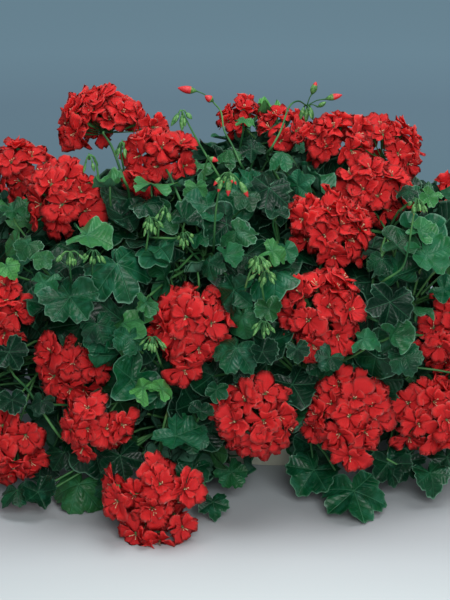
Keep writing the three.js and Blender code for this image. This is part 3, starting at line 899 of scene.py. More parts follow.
def spread_directions(count, axis, widest, random):
    """Directions about an axis, evenly spread up to the angle widest, in a golden-angle spiral."""
    steps = (np.arange(count) + 0.5) / count
    polar = np.arccos(1 - steps * (1 - math.cos(widest))) + random.normal(0, SPREAD_SWAY, count)
    azimuth = np.arange(count) * GOLDEN_ANGLE + random.uniform(0, 6.28)
    side = unit(np.cross(axis, [0.3, 0.2, 1.0]))
    flat = np.cos(azimuth)[:, None] * side + np.sin(azimuth)[:, None] * np.cross(axis, side)
    return np.cos(polar)[:, None] * axis + np.sin(polar)[:, None] * flat


def head_florets(number, hub, axis, usual, random):
    """Middles and facings of a head's flowers: evenly spread over a shell inside its CAD node, and then those
    that the picture shows standing out."""
    middle, halves = head_middles[number - 1], head_halves[number - 1]
    fullness = HEAD_FULLNESS.get(number, 1.0)
    share = fullness * (halves.mean() / USUAL_SIZE) ** FLORETS_BY_SIZE
    florets = max(FEWEST_FLORETS, int(round(usual * share)))
    ways = spread_directions(florets, axis, HEAD_SPREAD, random)
    base = middle + ways * halves * random.uniform(*HEAD_SHELL, (florets, 1))
    facing = unit(unit(base - hub) + random.normal(0, FLORET_SWAY, (florets, 3)))
    for stray in STRAY_FLORETS:
        if stray.head == number:
            place = sight_line(stray.px, stray.py, middle[1] - STRAY_FRONT * halves[1])
            look = stray.aside * np.array([1.0, 0, 0]) - stray.down * screen_up - along_sight
            base = np.concatenate([base, [place]])
            facing = np.concatenate([facing, [unit(look)]])
    return base, facing


def head_petals(base, facing, size, steps, spans, random):
    """The petals of a head's flowers, the outer ones laid open and the inner ones steeper, with their tone.
    The flowers differ in tone, and so do the petals of one flower a little."""
    florets = len(base)
    start = unit(np.cross(facing, unit(random.normal(size=(florets, 3)))))
    other = np.cross(facing, start)
    shape = (florets, petals_each)
    turn = 2 * np.pi * ring_share + random.normal(0, PETAL_SWAY, shape)
    around = np.cos(turn)[..., None] * start[:, None] + np.sin(turn)[..., None] * other[:, None]
    tilt = np.where(is_outer, random.uniform(*OUTER_TILTS, shape), random.uniform(*INNER_TILTS, shape))
    length = np.where(is_outer, random.uniform(*OUTER_LENGTHS, shape), random.uniform(*INNER_LENGTHS, shape))
    length = length * min(1.0, size / SMALL_SIZE) ** 0.5
    points, along, across = petals(
        np.repeat(base, petals_each, axis=0), np.repeat(facing, petals_each, axis=0), around.reshape(-1, 3),
        np.radians(tilt).ravel(), length.ravel(), steps, spans, random,
    )
    points[..., 2] = np.maximum(points[..., 2], FLOOR_GAP)
    tone = np.repeat(random.uniform(*PETAL_TONES, florets), petals_each)
    tone = tone + random.normal(0, TONE_SWAY, len(points))
    uv = np.stack([np.tile(across, len(points)), np.tile(along, len(points))], axis=1)
    marks = {"tone": np.repeat(tone, points.shape[1])}
    return *copied(points, petal_patch(steps, spans)), marks, uv


def stamens(base, facing, each, random):
    """Thin rods that lean a little off their flower's axis, each with a thicker tip."""
    base = np.repeat(base, each, axis=0)
    lean = unit(np.repeat(facing, each, axis=0) + random.normal(0, STAMEN_SWAY, base.shape))
    tip = base + lean * random.uniform(*STAMEN_LENGTHS, (len(base), 1))
    lines = base[:, None] + (tip - base)[:, None] * np.array(STAMEN_STEPS)[:, None]
    points, faces = stalks_along(lines, STAMEN_RADII, STAMEN_SIDES)
    points[:, 2] = np.maximum(points[:, 2], FLOOR_GAP)
    return points, faces


petal_material = scarlet_petal()
stamen_material = pale_stamen()
head_spring = spring_points(head_middles, STALK_REACH, STALK_LIFT, own_head=np.arange(len(head_names)))
petals_each = OUTER_PETALS + INNER_PETALS
petal_rank = np.arange(petals_each)
is_outer = petal_rank < OUTER_PETALS
ring_share = np.where(is_outer, petal_rank / OUTER_PETALS, (petal_rank + 0.5) / INNER_PETALS)

seen_ways = []
for number, name in enumerate(head_names, start=1):
    random = np.random.default_rng(HEAD_SEED + number)
    detail = SEEN_DETAIL if number <= SEEN_HEADS else HIDDEN_DETAIL
    middle, size = head_middles[number - 1], head_halves[number - 1].mean()
    foot = stem_joints[head_spring[number - 1]]
    axis = unit(unit(middle - foot) + HEAD_OUTWARD * mound_normal(middle) + [0, 0, HEAD_UPWARD])
    hub = middle - axis * size * HUB_DEPTH
    base, facing = head_florets(number, hub, axis, detail["florets"], random)
    points, faces, marks, uv = head_petals(base, facing, size, detail["steps"], detail["spans"], random)
    piece(f"{name}_petals", points, faces, petal_material, marks, uv=uv, replaces=[name])

    knots = bowed(foot, hub, STALK_LIFT)
    if number in HEAD_WAYS:
        knots = seen_stalk(HEAD_WAYS[number], hub[1], hub)
        seen_ways.append(knots[2:-1])
    stalk = eased_line(knots, np.linspace(0, 1, STALK_STEPS))
    pedicels = eased_line(bowed(hub, base, PEDICEL_LIFT), np.linspace(0, 1, len(PEDICEL_RADII)))
    points, faces = joined([
        stalks_along(stalk[None], np.linspace(*STALK_RADII, STALK_STEPS), STALK_SIDES),
        stalks_along(pedicels, PEDICEL_RADII, PEDICEL_SIDES),
    ])
    piece(f"{name}_stalks", points, faces, stem_material)
    points, faces = stamens(base, facing, detail["stamens"], random)
    piece(f"{name}_stamens", points, faces, stamen_material)

# Bud bunches
# Young flower heads in bud: a stalk that nods at its end, from which pointed green buds hang on thin stalks
# of their own. The oldest buds show the red of their petals at the tip.
BUD_GREEN = (0.030, 0.150, 0.034, 1)
BUD_PALE = (0.130, 0.310, 0.085, 1)
BUD_RED = (0.560, 0.020, 0.025, 1)
BUD_PROFILE = np.array([0.30, 0.72, 0.98, 1.00, 0.86, 0.58, 0.16])
BUD_SIDES = 7
BUD_SLANTS = (18, 82)
BUD_DISTANCES = (3.5, 9)
BUD_LENGTHS = (6, 9.5)
BUD_RADII = (1.2, 1.9)
BUD_RIPENESS = (0.6, 1.4)
BUD_FALL = 0.7
LONE_BUD_FORWARD = 2.0
BUNCH_SEED = 700
BUNCH_TOP = cad_box[1][2] / MM + 12.0
BUNCH_DEPTHS = np.arange(-260.0, 200.0, 2.0)
BUNCH_STALK_RADII = (1.3, 0.7)
BUNCH_STALK_STEPS = 24
BUNCH_STALK_SIDES = 7
BUNCH_MIDDLE_DROP = 8.0
THREAD_LIFT = 2.0
THREAD_RADII = (0.7, 0.6, 0.55, 0.6, 0.9)
THREAD_SIDES = 5

# For each bunch the pixels of its stalk, from the nodding end to where it enters the foliage, how many buds
# hang there, how far they show red, from 0 to 1, and how far it stands in front of the foliage. A lone bud
# has the pixels of its foot and of its tip, its radius and how far it shows red.
Bunch = namedtuple("Bunch", "way buds ripe front lone", defaults=[()])
Lone = namedtuple("Lone", "foot_x foot_y tip_x tip_y radius ripe")
BUD_BUNCHES = [
    Bunch([(213, 102), (221, 112), (224, 130), (232, 145), (240, 163)], 0, 1.0, 0, [
        Lone(196, 91, 178, 88, 3.9, 1.0), Lone(213, 101, 205, 96, 3.6, 0.9),
    ]),
    Bunch([(182, 111), (190, 127), (200, 145), (220, 178)], 3, 0.0, 0, [
        Lone(179, 113, 171, 126, 2.5, 0.0), Lone(182, 115, 182, 131, 2.5, 0.0),
        Lone(186, 113, 192, 119, 2.3, 0.0),
    ]),
    Bunch([(307, 106), (298, 101), (289, 107), (281, 130), (272, 147)], 3, 0.0, 6, [
        Lone(312, 94, 316, 82, 3.4, 0.35), Lone(326, 99, 342, 95, 3.3, 0.75),
        Lone(318, 107, 326, 102, 2.4, 0.0), Lone(304, 107, 300, 120, 2.3, 0.0),
        Lone(307, 108, 306, 123, 2.5, 0.0), Lone(310, 107, 313, 120, 2.4, 0.0),
    ]),
    Bunch([(229, 173), (220, 188), (216, 210), (214, 240)], 5, 0.45, 14, [
        Lone(229, 178, 228, 196, 3.0, 0.5), Lone(240, 182, 248, 197, 2.8, 0.5),
        Lone(222, 180, 218, 192, 2.4, 0.4),
    ]),
    Bunch([(258, 258), (250, 272), (245, 290), (243, 305)], 14, 0.1, 16),
    Bunch([(265, 272), (262, 284), (264, 300)], 10, 0.0, 14),
    Bunch([(94, 251), (93, 262), (92, 278)], 7, 0.0, 6),
    Bunch([(70, 252), (70, 268), (72, 284)], 8, 0.0, 8),
    Bunch([(150, 218), (148, 236), (146, 250)], 12, 0.0, 12),
    Bunch([(184, 234), (176, 238), (160, 238)], 9, 0.0, 12),
    Bunch([(165, 208), (160, 220), (158, 236)], 7, 0.0, 8),
    Bunch([(417, 199), (412, 225), (408, 250), (402, 268), (385, 280)], 8, 0.1, 8),
    Bunch([(153, 338), (156, 350), (160, 362)], 14, 0.0, 10),
    Bunch([(89, 155), (94, 157), (97, 168), (99, 182)], 5, 0.0, 0),
    Bunch([(122, 142), (121, 152), (124, 170)], 5, 0.0, 0),
    Bunch([(208, 157), (205, 168), (204, 182)], 0, 0.8, 6, [Lone(209, 158, 218, 161, 2.6, 0.8)]),
    Bunch([(264, 322), (262, 332), (266, 342)], 9, 0.0, 8),
]


def green_bud():
    """Green sepals with paler ridges. The petals show red from the tip down as far as the bud is ripe."""
    finish = Finish("green_bud")
    place = finish.place()
    ripe = finish.mark("ripe")
    along = finish.mark("along")
    ridges = finish.noise(place, scale=420.0, detail=2.0)
    green = finish.mix(finish.ramp(ridges, 0.35, 0.65), BUD_GREEN, BUD_PALE)
    open_tip = finish.ramp(along + ripe * 0.75 + ridges * 0.10, 1.05, 1.16)
    tint = finish.mix(open_tip, green, BUD_RED)
    return finish.surface(
        Base_Color=tint, Roughness=0.40 + ridges * 0.2, Normal=finish.bump(ridges, distance=0.0005),
    )


def hanging_buds(bunch, hub, depth, random):
    """Feet, tips, radii and ripeness of a bunch's buds: those that hang round the end of the stalk, evenly
    turned and slanted by a random angle from straight down, and then the lone ones at their pixels."""
    count = bunch.buds
    slant = np.radians(random.uniform(*BUD_SLANTS, count))
    azimuth = np.arange(count) * GOLDEN_ANGLE + random.uniform(0, 6.28)
    across = np.sin(slant)
    hang = np.stack([across * np.cos(azimuth), across * np.sin(azimuth), -np.cos(slant)], axis=1)
    feet = hub + hang * random.uniform(*BUD_DISTANCES, (count, 1))
    tips = feet + unit(hang - [0, 0, BUD_FALL]) * random.uniform(*BUD_LENGTHS, (count, 1))
    radii = random.uniform(*BUD_RADII, count)
    ripe = bunch.ripe * random.uniform(*BUD_RIPENESS, count)
    for lone in bunch.lone:
        feet = np.concatenate([feet, [sight_line(lone.foot_x, lone.foot_y, depth)]])
        tips = np.concatenate([tips, [sight_line(lone.tip_x, lone.tip_y, depth - LONE_BUD_FORWARD)]])
        radii, ripe = np.append(radii, lone.radius), np.append(ripe, lone.ripe)
    return feet, tips, radii, ripe


def buds(feet, tips, radii, ripe):
    """Closed pointed buds from foot to tip, with the marks that their skin reads at each point."""
    steps = np.linspace(0, 1, len(BUD_PROFILE))
    lines = feet[:, None] + (tips - feet)[:, None] * steps[:, None]
    points, faces = tubes(lines, radii[:, None] * BUD_PROFILE, BUD_SIDES)
    along = np.concatenate([np.repeat(steps, BUD_SIDES), [0.0, 1.0]])
    marks = {"along": np.tile(along, len(feet)), "ripe": np.repeat(ripe, points.shape[1])}
    return *copied(points, faces), marks


# A bunch stands no nearer than where its highest bud stays under BUNCH_TOP
bud_material = green_bud()
bunch_middles = []
for number, bunch in enumerate(BUD_BUNCHES, start=1):
    random = np.random.default_rng(BUNCH_SEED + number)
    px, py = np.array(bunch.way, float).T
    top_pixel = min([py[0], *(min(lone.foot_y, lone.tip_y) for lone in bunch.lone)])
    low_enough = BUNCH_DEPTHS[np.argmax(sight_line(px[0], top_pixel, BUNCH_DEPTHS)[:, 2] < BUNCH_TOP)]
    depth = max(low_enough, mound_sight(px[-1:], py[-1:])[0, 1] - bunch.front)
    hub = sight_line(px[0], py[0], depth)
    stalk = eased_line(seen_stalk(bunch.way[1:], depth, hub), np.linspace(0, 1, BUNCH_STALK_STEPS))
    feet, tips, radii, ripe = hanging_buds(bunch, hub, depth, random)
    threads = eased_line(bowed(hub, feet, THREAD_LIFT), np.linspace(0, 1, len(THREAD_RADII)))
    points, faces = joined([
        stalks_along(stalk[None], np.linspace(*BUNCH_STALK_RADII, BUNCH_STALK_STEPS), BUNCH_STALK_SIDES),
        stalks_along(threads, THREAD_RADII, THREAD_SIDES),
    ])
    piece(f"bud_bunch_{number:02d}_stalks", points, faces, stem_material)
    points, faces, marks = buds(feet, tips, radii, ripe)
    piece(f"bud_bunch_{number:02d}_buds", points, faces, bud_material, marks)
    bunch_middles.append(hub - [0, 0, BUNCH_MIDDLE_DROP])
    seen_ways.append(sight_line(px[1:], py[1:], depth))

# Leaves
# Ivy leaves, thick and leathery, with five shallow rounded lobes, pleated between the veins that spread from
# the petiole near the middle, and with a thin pale margin. Each grows on its own petiole from a stem. Those
# that the picture shows plainly are placed one by one, and the rest evenly.
LOBE_ANGLE = math.radians(63)
LEAF_SEED = 31
LEAF_THICKNESS = 0.022
LEAF_TRAITS = {
    "lobing": (0.12, 0.28), "cup": (-0.34, 0.40), "pleat": (0.12, 0.30), "wave": (0.04, 0.12),
    "phase": (0, 6.28), "fold": (-0.55, 0.55), "twist": (-0.40, 0.40), "droop": (-0.05, 0.45),
    "tuck": (-0.10, 0.35),
}
HERO_RINGS = 5
HERO_SIDES = 64
FINE_SIDES = 50
SINK_STEPS = 12
SINK_STEP = 4.0
PETIOLE_REACH = 70.0
PETIOLE_LIFT = 8.0
PETIOLE_BOW = 6.0
PETIOLE_RISE = 13.0
PETIOLE_GAP = 0.4
PETIOLE_STEPS = 7
PETIOLE_RADII = (1.35, 0.95)

# How many sides a petiole has, for each number of rings that its blade may have
PETIOLE_SIDES = {5: 5, 3: 5, 2: 4}

# The layers of leaves from the outside in: how many places, how far down they go, from 0 at the top of the
# mound to 2 at its foot, their depths under its surface, the leaves' radii, and a blade's rings and sides
LEAF_LAYERS = [
    {"places": 720, "span": 1.66, "depths": (0, 30), "radii": (11, 28), "rings": 3, "sides": 32},
    {"places": 460, "span": 1.66, "depths": (30, 64), "radii": (20, 34), "rings": 3, "sides": 20},
    {"places": 330, "span": 1.64, "depths": (62, 105), "radii": (27, 38), "rings": 2, "sides": 18},
]

# How the leaves of a layer face and sway. One in five or six is unruly and sways further, and only a layer
# that starts less than OUTSIDE_DEPTH deep has young and bright leaves. The deeper layers get a lower
# tone, painted shade for the inside of the foliage.
OUTSIDE_DEPTH = 20
AZIMUTH_SWAY = 0.04
LEAF_SWAY = 0.38
UNRULY_SHARE, UNRULY_SWAY = 0.18, 2.2
LEAF_OUTWARD, LEAF_UPWARD = 0.85, 0.45
TIP_SWAY, TIP_FALL = 0.45, 0.9
YOUTH_MEAN, YOUTH_SPREAD = -0.10, 0.25
INSIDE_SHADE_TONE = 0.35

# What a leaf keeps clear of: heads, by a share of its radius and of the square of theirs, and the floor, from
# its lowest edge, or from the middle of a placed leaf
LEAF_CORE = 0.6
HEAD_TOUCH = 0.86
LEAF_FLOOR_GAP = 3
HERO_LOWEST = 16

# How a leaf is sunk under the upper edge: the share of its radius that counts as its height, the factor on
# what it is sunk by, and the most that it may be sunk
EDGE_REACH = 0.8
EDGE_SINK = 1.05
DEEPEST_SINK = 70

# Half-sizes, in pixels, of what a leaf may not lie in front of: a bud bunch, a point of a stalk, and a placed
# leaf, as a share of its radius
BUNCH_HALF_WIDTH, BUNCH_HALF_HEIGHT = 9.0, 11.0
WAY_HALF_WIDTH = 3.0
HERO_HALF_WIDTH = 0.75

# The upper edge of the foliage in the picture, as the row of pixels for each column, and the places where the
# background shows through it
CANOPY_TOP = {
    -60: 225, 0: 206, 25: 202, 60: 205, 92: 186, 128: 184, 178: 178, 196: 158, 214: 150, 224: 141, 240: 130,
    262: 128, 300: 134, 318: 160, 400: 180, 420: 184, 450: 192, 520: 215,
}
Opening = namedtuple("Opening", "px py wide tall")
OPENINGS = [
    Opening(108, 160, 18, 36), Opening(212, 146, 20, 8), Opening(31, 366, 8, 16), Opening(34, 417, 20, 14),
    Opening(440, 274, 14, 14), Opening(419, 291, 10, 14), Opening(272, 457, 40, 28),
]

# Leaves that stand out in the picture: the pixel where the petiole meets the blade, the radius in mm, where
# the tip points on the picture (0 right, 90 up), how far the face is turned to the right of the viewer and
# lifted above level, in degrees, and how young and how pale the leaf is. The paleness is partly the leaf's
# own and partly painted light and shade, as the leaf lies lit or shaded. The last few lie over a head.
Leaf = namedtuple("Leaf", "px py radius tip turn lift youth tone")
HERO_LEAVES = [
    Leaf(117, 264, 33, -70, 8, 42, 0.0, 0.6), Leaf(269, 188, 22, -100, -6, 38, 0.0, 0.1),
    Leaf(87, 235, 24, -25, 10, 70, 0.38, 1.0), Leaf(185, 221, 18, -10, 25, 66, 0.0, 0.3),
    Leaf(28, 244, 15, -120, -10, 44, 0.1, 0.4), Leaf(7, 266, 12, -60, 0, 49, 0.8, 0.8),
    Leaf(44, 283, 17, 25, -20, 59, 0.1, 0.9), Leaf(70, 297, 29, -110, -12, 54, 0.0, 0.5),
    Leaf(97, 324, 17, -70, 5, 34, 0.0, 0.3), Leaf(130, 336, 16, -90, 15, 39, 0.0, 0.6),
    Leaf(146, 303, 14, -95, 55, 34, 0.2, 0.6), Leaf(209, 263, 15, -80, -48, 24, 0.0, 0.4),
    Leaf(226, 255, 14, -60, 40, 44, 0.1, 0.9), Leaf(236, 231, 20, -40, -15, 49, 0.1, 0.5),
    Leaf(234, 290, 22, -100, -50, 26, 0.0, 0.4), Leaf(272, 251, 14, -20, 20, 54, 0.5, 0.7),
    Leaf(269, 309, 14, -70, -20, 44, 0.2, 0.4), Leaf(236, 348, 22, -110, -6, 46, 0.0, 0.5),
    Leaf(262, 352, 14, -60, 20, 36, 0.0, 0.1), Leaf(297, 349, 12, -80, 10, 29, 0.0, 0.3),
    Leaf(364, 339, 15, -20, -10, 64, 0.1, 1.0), Leaf(330, 357, 14, -120, 5, 40, 0.0, 0.3),
    Leaf(390, 302, 24, -100, 15, 24, 0.0, 0.0), Leaf(408, 191, 12, -150, -25, 64, 0.0, 0.2),
    Leaf(428, 196, 14, -10, 10, 65, 0.5, 0.7), Leaf(420, 230, 18, -20, 15, 69, 0.3, 0.9),
    Leaf(426, 255, 24, -60, 12, 54, 0.1, 0.9), Leaf(405, 356, 17, -70, -10, 39, 0.0, 0.4),
    Leaf(176, 436, 25, -50, 5, 72, 0.0, 0.8), Leaf(143, 388, 14, 135, -20, 52, 0.9, 0.8),
    Leaf(162, 389, 13, 50, 30, 49, 0.8, 0.7), Leaf(193, 469, 19, -100, -8, 44, 0.0, 0.4),
    Leaf(213, 502, 16, -85, 10, 49, 0.0, 0.4), Leaf(231, 472, 17, -60, 15, 39, 0.1, 0.6),
    Leaf(112, 484, 18, -90, 10, 39, 0.0, 0.4), Leaf(79, 484, 27, -105, -8, 46, 0.2, 0.5),
    Leaf(9, 352, 18, -60, 10, 36, 0.0, 0.1), Leaf(42, 401, 12, -100, -10, 34, 0.0, 0.1),
    Leaf(12, 400, 14, -80, 10, 40, 0.0, 0.1), Leaf(40, 462, 22, -100, -15, 30, 0.0, 0.1),
    Leaf(38, 492, 17, -70, 10, 48, 0.0, 0.2), Leaf(64, 452, 18, -60, 10, 34, 0.0, 0.2),
    Leaf(120, 456, 22, -80, 10, 40, 0.0, 0.1), Leaf(407, 462, 20, -110, -10, 44, 0.0, 0.1),
    Leaf(447, 457, 20, -80, 10, 40, 0.0, 0.1), Leaf(17, 490, 18, -80, -5, 64, 0.0, 0.3),
    Leaf(314, 470, 27, -120, -12, 50, 0.0, 0.5), Leaf(354, 491, 32, -80, 5, 56, 0.0, 0.6),
    Leaf(388, 463, 22, -70, 12, 34, 0.0, 0.2), Leaf(430, 473, 19, -80, 14, 52, 0.0, 0.4),
    Leaf(252, 149, 14, -40, -15, 62, 0.0, 0.2), Leaf(283, 153, 16, -15, 25, 70, 0.1, 1.0),
    Leaf(197, 187, 13, -90, 15, 29, 0.4, 0.7), Leaf(228, 151, 14, -30, -20, 64, 0.2, 0.5),
    Leaf(152, 184, 26, 10, 0, 97, 0.4, 1.0), Leaf(110, 186, 16, 170, 0, 90, 0.4, 0.8),
    Leaf(13, 211, 14, -40, -10, 69, 0.1, 0.5), Leaf(145, 204, 18, -60, 8, 74, 0.0, 0.2),
    Leaf(382, 259, 13, -100, 10, 46, 0.0, 0.3), Leaf(243, 120, 12, 10, 0, 84, 0.5, 1.0),
    Leaf(267, 113, 15, -8, 0, 88, 1.0, 1.0),
]
LEAVES_OVER_HEADS = 3


def meets_heads(centre, radius):
    """Whether a leaf's middle or any of six points about it lies inside a flower head."""
    about = np.concatenate([np.zeros((1, 3)), np.eye(3), -np.eye(3)])
    offset = centre[:, None, None] + about[:, None] * LEAF_CORE * radius[:, None, None, None] - head_middles
    return ((offset / head_halves) ** 2).sum(axis=-1).min(axis=(1, 2)) < HEAD_TOUCH


def seen_at(places):
    """Pixels at which places are seen, and pixels per millimetre there: x = middle + scale (x - aim) and
    y = middle - scale v, where v is the height across the sight and scale = distance / depth."""
    off = places - SIGHT_AIM
    c, s = math.cos(SIGHT_TILT), math.sin(SIGHT_TILT)
    scale = SIGHT_DISTANCE / (SIGHT_DISTANCE + off[..., 1] * c - off[..., 2] * s)
    across = FRAME_MIDDLE[0] + scale * off[..., 0]
    down = FRAME_MIDDLE[1] - scale * (off[..., 1] * s + off[..., 2] * c)
    return across, down, scale


def hero_leaves():
    """The placed leaves: middle, normal, tip direction, radius and marks. The normal is (sin turn cos lift,
    -cos turn cos lift, sin lift) and the tip lies across the line of sight. A leaf that would be inside a
    flower head goes behind it, or in front of it if it is one of the last in the list."""
    values = dict(zip(Leaf._fields, np.array(HERO_LEAVES, float).T.copy()))
    turn, lift, tip = (np.radians(values[key]) for key in ("turn", "lift", "tip"))
    normal = np.stack([np.sin(turn) * np.cos(lift), -np.cos(turn) * np.cos(lift), np.sin(lift)], axis=1)
    forward = np.cos(tip)[:, None] * [1.0, 0, 0] + np.sin(tip)[:, None] * screen_up
    centre = mound_sight(values["px"], values["py"])
    centre[:, 2] = np.maximum(centre[:, 2], HERO_LOWEST)
    is_behind = np.arange(len(centre)) < len(centre) - LEAVES_OVER_HEADS
    way = np.where(is_behind, SINK_STEP, -SINK_STEP)
    for step in range(SINK_STEPS):
        centre += (meets_heads(centre, values["radius"]) * way)[:, None] * along_sight
    return {"centre": centre, "normal": normal, "tip": forward, "radius": values["radius"],
            "youth": values["youth"], "tone": values["tone"]}


def layer_leaves(places, span, depths, radii, random):
    """Leaves spread evenly over the mound by the golden angle, from its top down, at random depths. They face
    outwards and up, each swayed by a random vector, and step inwards from a flower head that they meet."""
    numbers = np.arange(places)
    height = 1 - span * (numbers + 0.5) / places
    azimuth = numbers * GOLDEN_ANGLE + random.normal(0, AZIMUTH_SWAY, places)
    across = np.sqrt(1 - height ** 2)
    direction = np.stack([across * np.cos(azimuth), across * np.sin(azimuth), height], axis=1)
    surface = mound_point(direction)
    outward = mound_normal(surface)
    sway = random.normal(0, LEAF_SWAY, (places, 3))
    sway = sway * np.where(random.random((places, 1)) < UNRULY_SHARE, UNRULY_SWAY, 1.0)
    normal = unit(outward * LEAF_OUTWARD + [0, 0, LEAF_UPWARD] + sway)
    centre = surface - outward * random.uniform(*depths, places)[:, None]
    size = radii[0] + (radii[1] - radii[0]) * random.random(places) ** 0.9
    for step in range(SINK_STEPS):
        centre -= meets_heads(centre, size)[:, None] * outward * SINK_STEP
    tip = direction + random.normal(0, TIP_SWAY, (places, 3)) - [0, 0, TIP_FALL]
    is_outside = depths[0] < OUTSIDE_DEPTH
    youth = np.clip(random.normal(YOUTH_MEAN, YOUTH_SPREAD, places), 0, 1) * is_outside
    # Painted shade: leaves of the deeper layers are darker.
    return {"centre": centre, "normal": normal, "tip": tip, "radius": size, "youth": youth,
            "tone": random.random(places) * (1.0 if is_outside else INSIDE_SHADE_TONE)}


def kept_leaves(leaves, heroes):
    """The leaves that fit: sunk under the upper edge that the picture shows, clear of the flower heads and of
    the floor, and not in front of a flower head, a bud bunch, an opening or a leaf that it shows."""
    centre, normal, radius = leaves["centre"], leaves["normal"], leaves["radius"]
    tall = np.sqrt(1 - (normal @ screen_up) ** 2)
    wide = np.sqrt(1 - normal[:, 0] ** 2)
    across, down, scale = seen_at(centre)
    edge = np.interp(across, list(CANOPY_TOP), list(CANOPY_TOP.values()))
    sink = np.maximum(0, edge - (down - EDGE_REACH * radius * tall * scale))
    centre[:, 2] -= sink * EDGE_SINK
    across, down, scale = seen_at(centre)
    lowest = centre[:, 2] - radius * np.sqrt(1 - normal[:, 2] ** 2)
    kept = (lowest > LEAF_FLOOR_GAP) & (sink < DEEPEST_SINK) & ~meets_heads(centre, radius)
    wide, tall = wide * radius * scale, tall * radius * scale

    def hides(places, half_wide, half_tall, share, slack):
        x, z, _ = seen_at(places)
        spread = ((across[:, None] - x) / (half_wide + share * wide[:, None])) ** 2
        spread += ((down[:, None] - z) / (half_tall + share * tall[:, None])) ** 2
        return ((spread < 1) & (centre[:, 1:2] < places[:, 1] + slack)).any(axis=1)

    heads, halves = head_middles[:SEEN_HEADS], head_halves[:SEEN_HEADS]
    kept &= ~hides(heads, halves[:, 0], halves[:, 2], share=0.45, slack=12)
    hero_half = HERO_HALF_WIDTH * heroes["radius"]
    kept &= ~hides(heroes["centre"], hero_half, hero_half, share=0.45, slack=12)
    kept &= ~hides(np.array(bunch_middles), BUNCH_HALF_WIDTH, BUNCH_HALF_HEIGHT, share=0.5, slack=10)
    kept &= ~hides(np.concatenate(seen_ways), WAY_HALF_WIDTH, WAY_HALF_WIDTH, share=0.5, slack=6)
    for opening in OPENINGS:
        off_x = np.abs(across - opening.px) < opening.wide / 2 + 0.5 * wide
        off_y = np.abs(down - opening.py) < opening.tall / 2 + 0.5 * tall
        kept &= ~(off_x & off_y)
    return {key: values[kept] for key, values in leaves.items()}


def leaf_blades(leaves, rings, sides, random):
    """Closed leaf blades. In a leaf's own frame, with x to its tip, z up, angle a and share s outwards:
    rim = (1 - lobing (1 - |cos(pi a / lobe)|^0.75)) (1 - 0.2 (a / pi)^2) (1 - notch where the angle is 180),
    height = cup s^1.8 + pleats between the veins + waves near the rim - fold |y|^1.3 - droop x^2 in front of
    the petiole, or tuck x^2 behind it, - twist x y. The finest blades also have a crimped and rippled rim."""
    normal, radius, youth = leaves["normal"], leaves["radius"], leaves["youth"]
    count = len(radius)
    side = unit(np.cross(normal, leaves["tip"]))
    forward = np.cross(side, normal)
    lobing, cup, pleat, wave, phase, fold, twist, droop, tuck = drawn_traits(LEAF_TRAITS, count, random)
    wave = wave * (1 + 0.8 * youth[:, None, None])
    is_fine = sides > FINE_SIDES
    outward = (np.arange(1, rings + 1) / rings) ** 0.8
    angle = (np.arange(sides) + 0.5) / sides * 2 * np.pi - np.pi
    a, s = angle[None, None], outward[None, :, None]
    lobe = np.abs(np.cos(np.pi * a / LOBE_ANGLE))
    behind = np.exp(-((np.pi - np.abs(a)) / 0.36) ** 2)
    rim = (1 - lobing * (1 - lobe ** 0.75)) * (1 - 0.20 * (a / np.pi) ** 2) * (1 - 0.72 * behind)
    crimp = 0.045 * np.cos(6 * np.pi * a / LOBE_ANGLE) * (1 - behind) * is_fine
    far = s * (rim + crimp * s ** 3)
    x, y = far * np.cos(a), far * np.sin(a)
    z = cup * s ** 1.8 + pleat * s ** 1.2 * (0.6 - lobe ** 1.3)
    z = z + wave * s ** 2.2 * (np.sin(3 * a + phase) + 0.7 * np.sin(5 * a - 2.3 * phase))
    z = z + 0.03 * s ** 3 * np.sin(11 * a + 3 * phase) * is_fine
    z = z - fold * np.abs(y) ** 1.3 - droop * np.maximum(x, 0) ** 2
    z = z - tuck * np.minimum(x, 0) ** 2 - twist * x * y
    blade = np.stack(np.broadcast_arrays(x, y, z), axis=-1)
    thick = np.broadcast_to(LEAF_THICKNESS * (1 - s ** 8), blade.shape[:3])
    under = blade - np.stack([0 * thick, 0 * thick, thick], axis=-1)
    middle = np.zeros((count, 1, 3))
    under_middle = middle - [0, 0, LEAF_THICKNESS]
    local = np.concatenate([
        blade.reshape(count, -1, 3), middle, under[:, :-1].reshape(count, -1, 3), under_middle,
    ], axis=1)
    axes = np.stack([forward, side, normal], axis=1)
    points = leaves["centre"][:, None] + np.einsum("nij,njk->nik", local * radius[:, None, None], axes)
    upper = np.arange(rings * sides).reshape(rings, sides)
    lower = upper + rings * sides + 1
    lower[-1] = upper[-1]

    def skin(index, pole):
        turn = np.roll(index, -1, axis=1)
        walls = np.stack([index[:-1], index[1:], turn[1:], turn[:-1]], axis=-1).reshape(-1, 4)
        return [walls, np.stack([np.full(sides, pole), index[0], turn[0]], axis=1)]

    under_pole = 2 * rings * sides - sides + 1
    faces = skin(upper, rings * sides) + [rows[:, ::-1] for rows in skin(lower, under_pole)]
    share = np.concatenate([np.repeat(outward, sides), [0.0], np.repeat(outward[:-1], sides), [0.0]])
    is_under = np.arange(local.shape[1]) > rings * sides
    on_rim = (np.arange(local.shape[1]) // sides == rings - 1) & ~is_under
    return points, faces, {"uv": local[:, :, :2], "rim": on_rim, "share": share, "under": is_under * 1.0}


LEAF_DARK = (0.0012, 0.018, 0.0085, 1)
LEAF_GREEN = (0.0024, 0.074, 0.0225, 1)
# The paler bluish green below is a painted sheen, laid in patches over the blade.
LEAF_PAINTED_SHEEN = (0.0200, 0.125, 0.0720, 1)
LEAF_YOUNG = (0.0750, 0.290, 0.0650, 1)
LEAF_VEIN = (0.0500, 0.200, 0.1000, 1)
LEAF_MARGIN = (0.1600, 0.340, 0.2300, 1)
LEAF_UNDER = (0.0600, 0.180, 0.1150, 1)


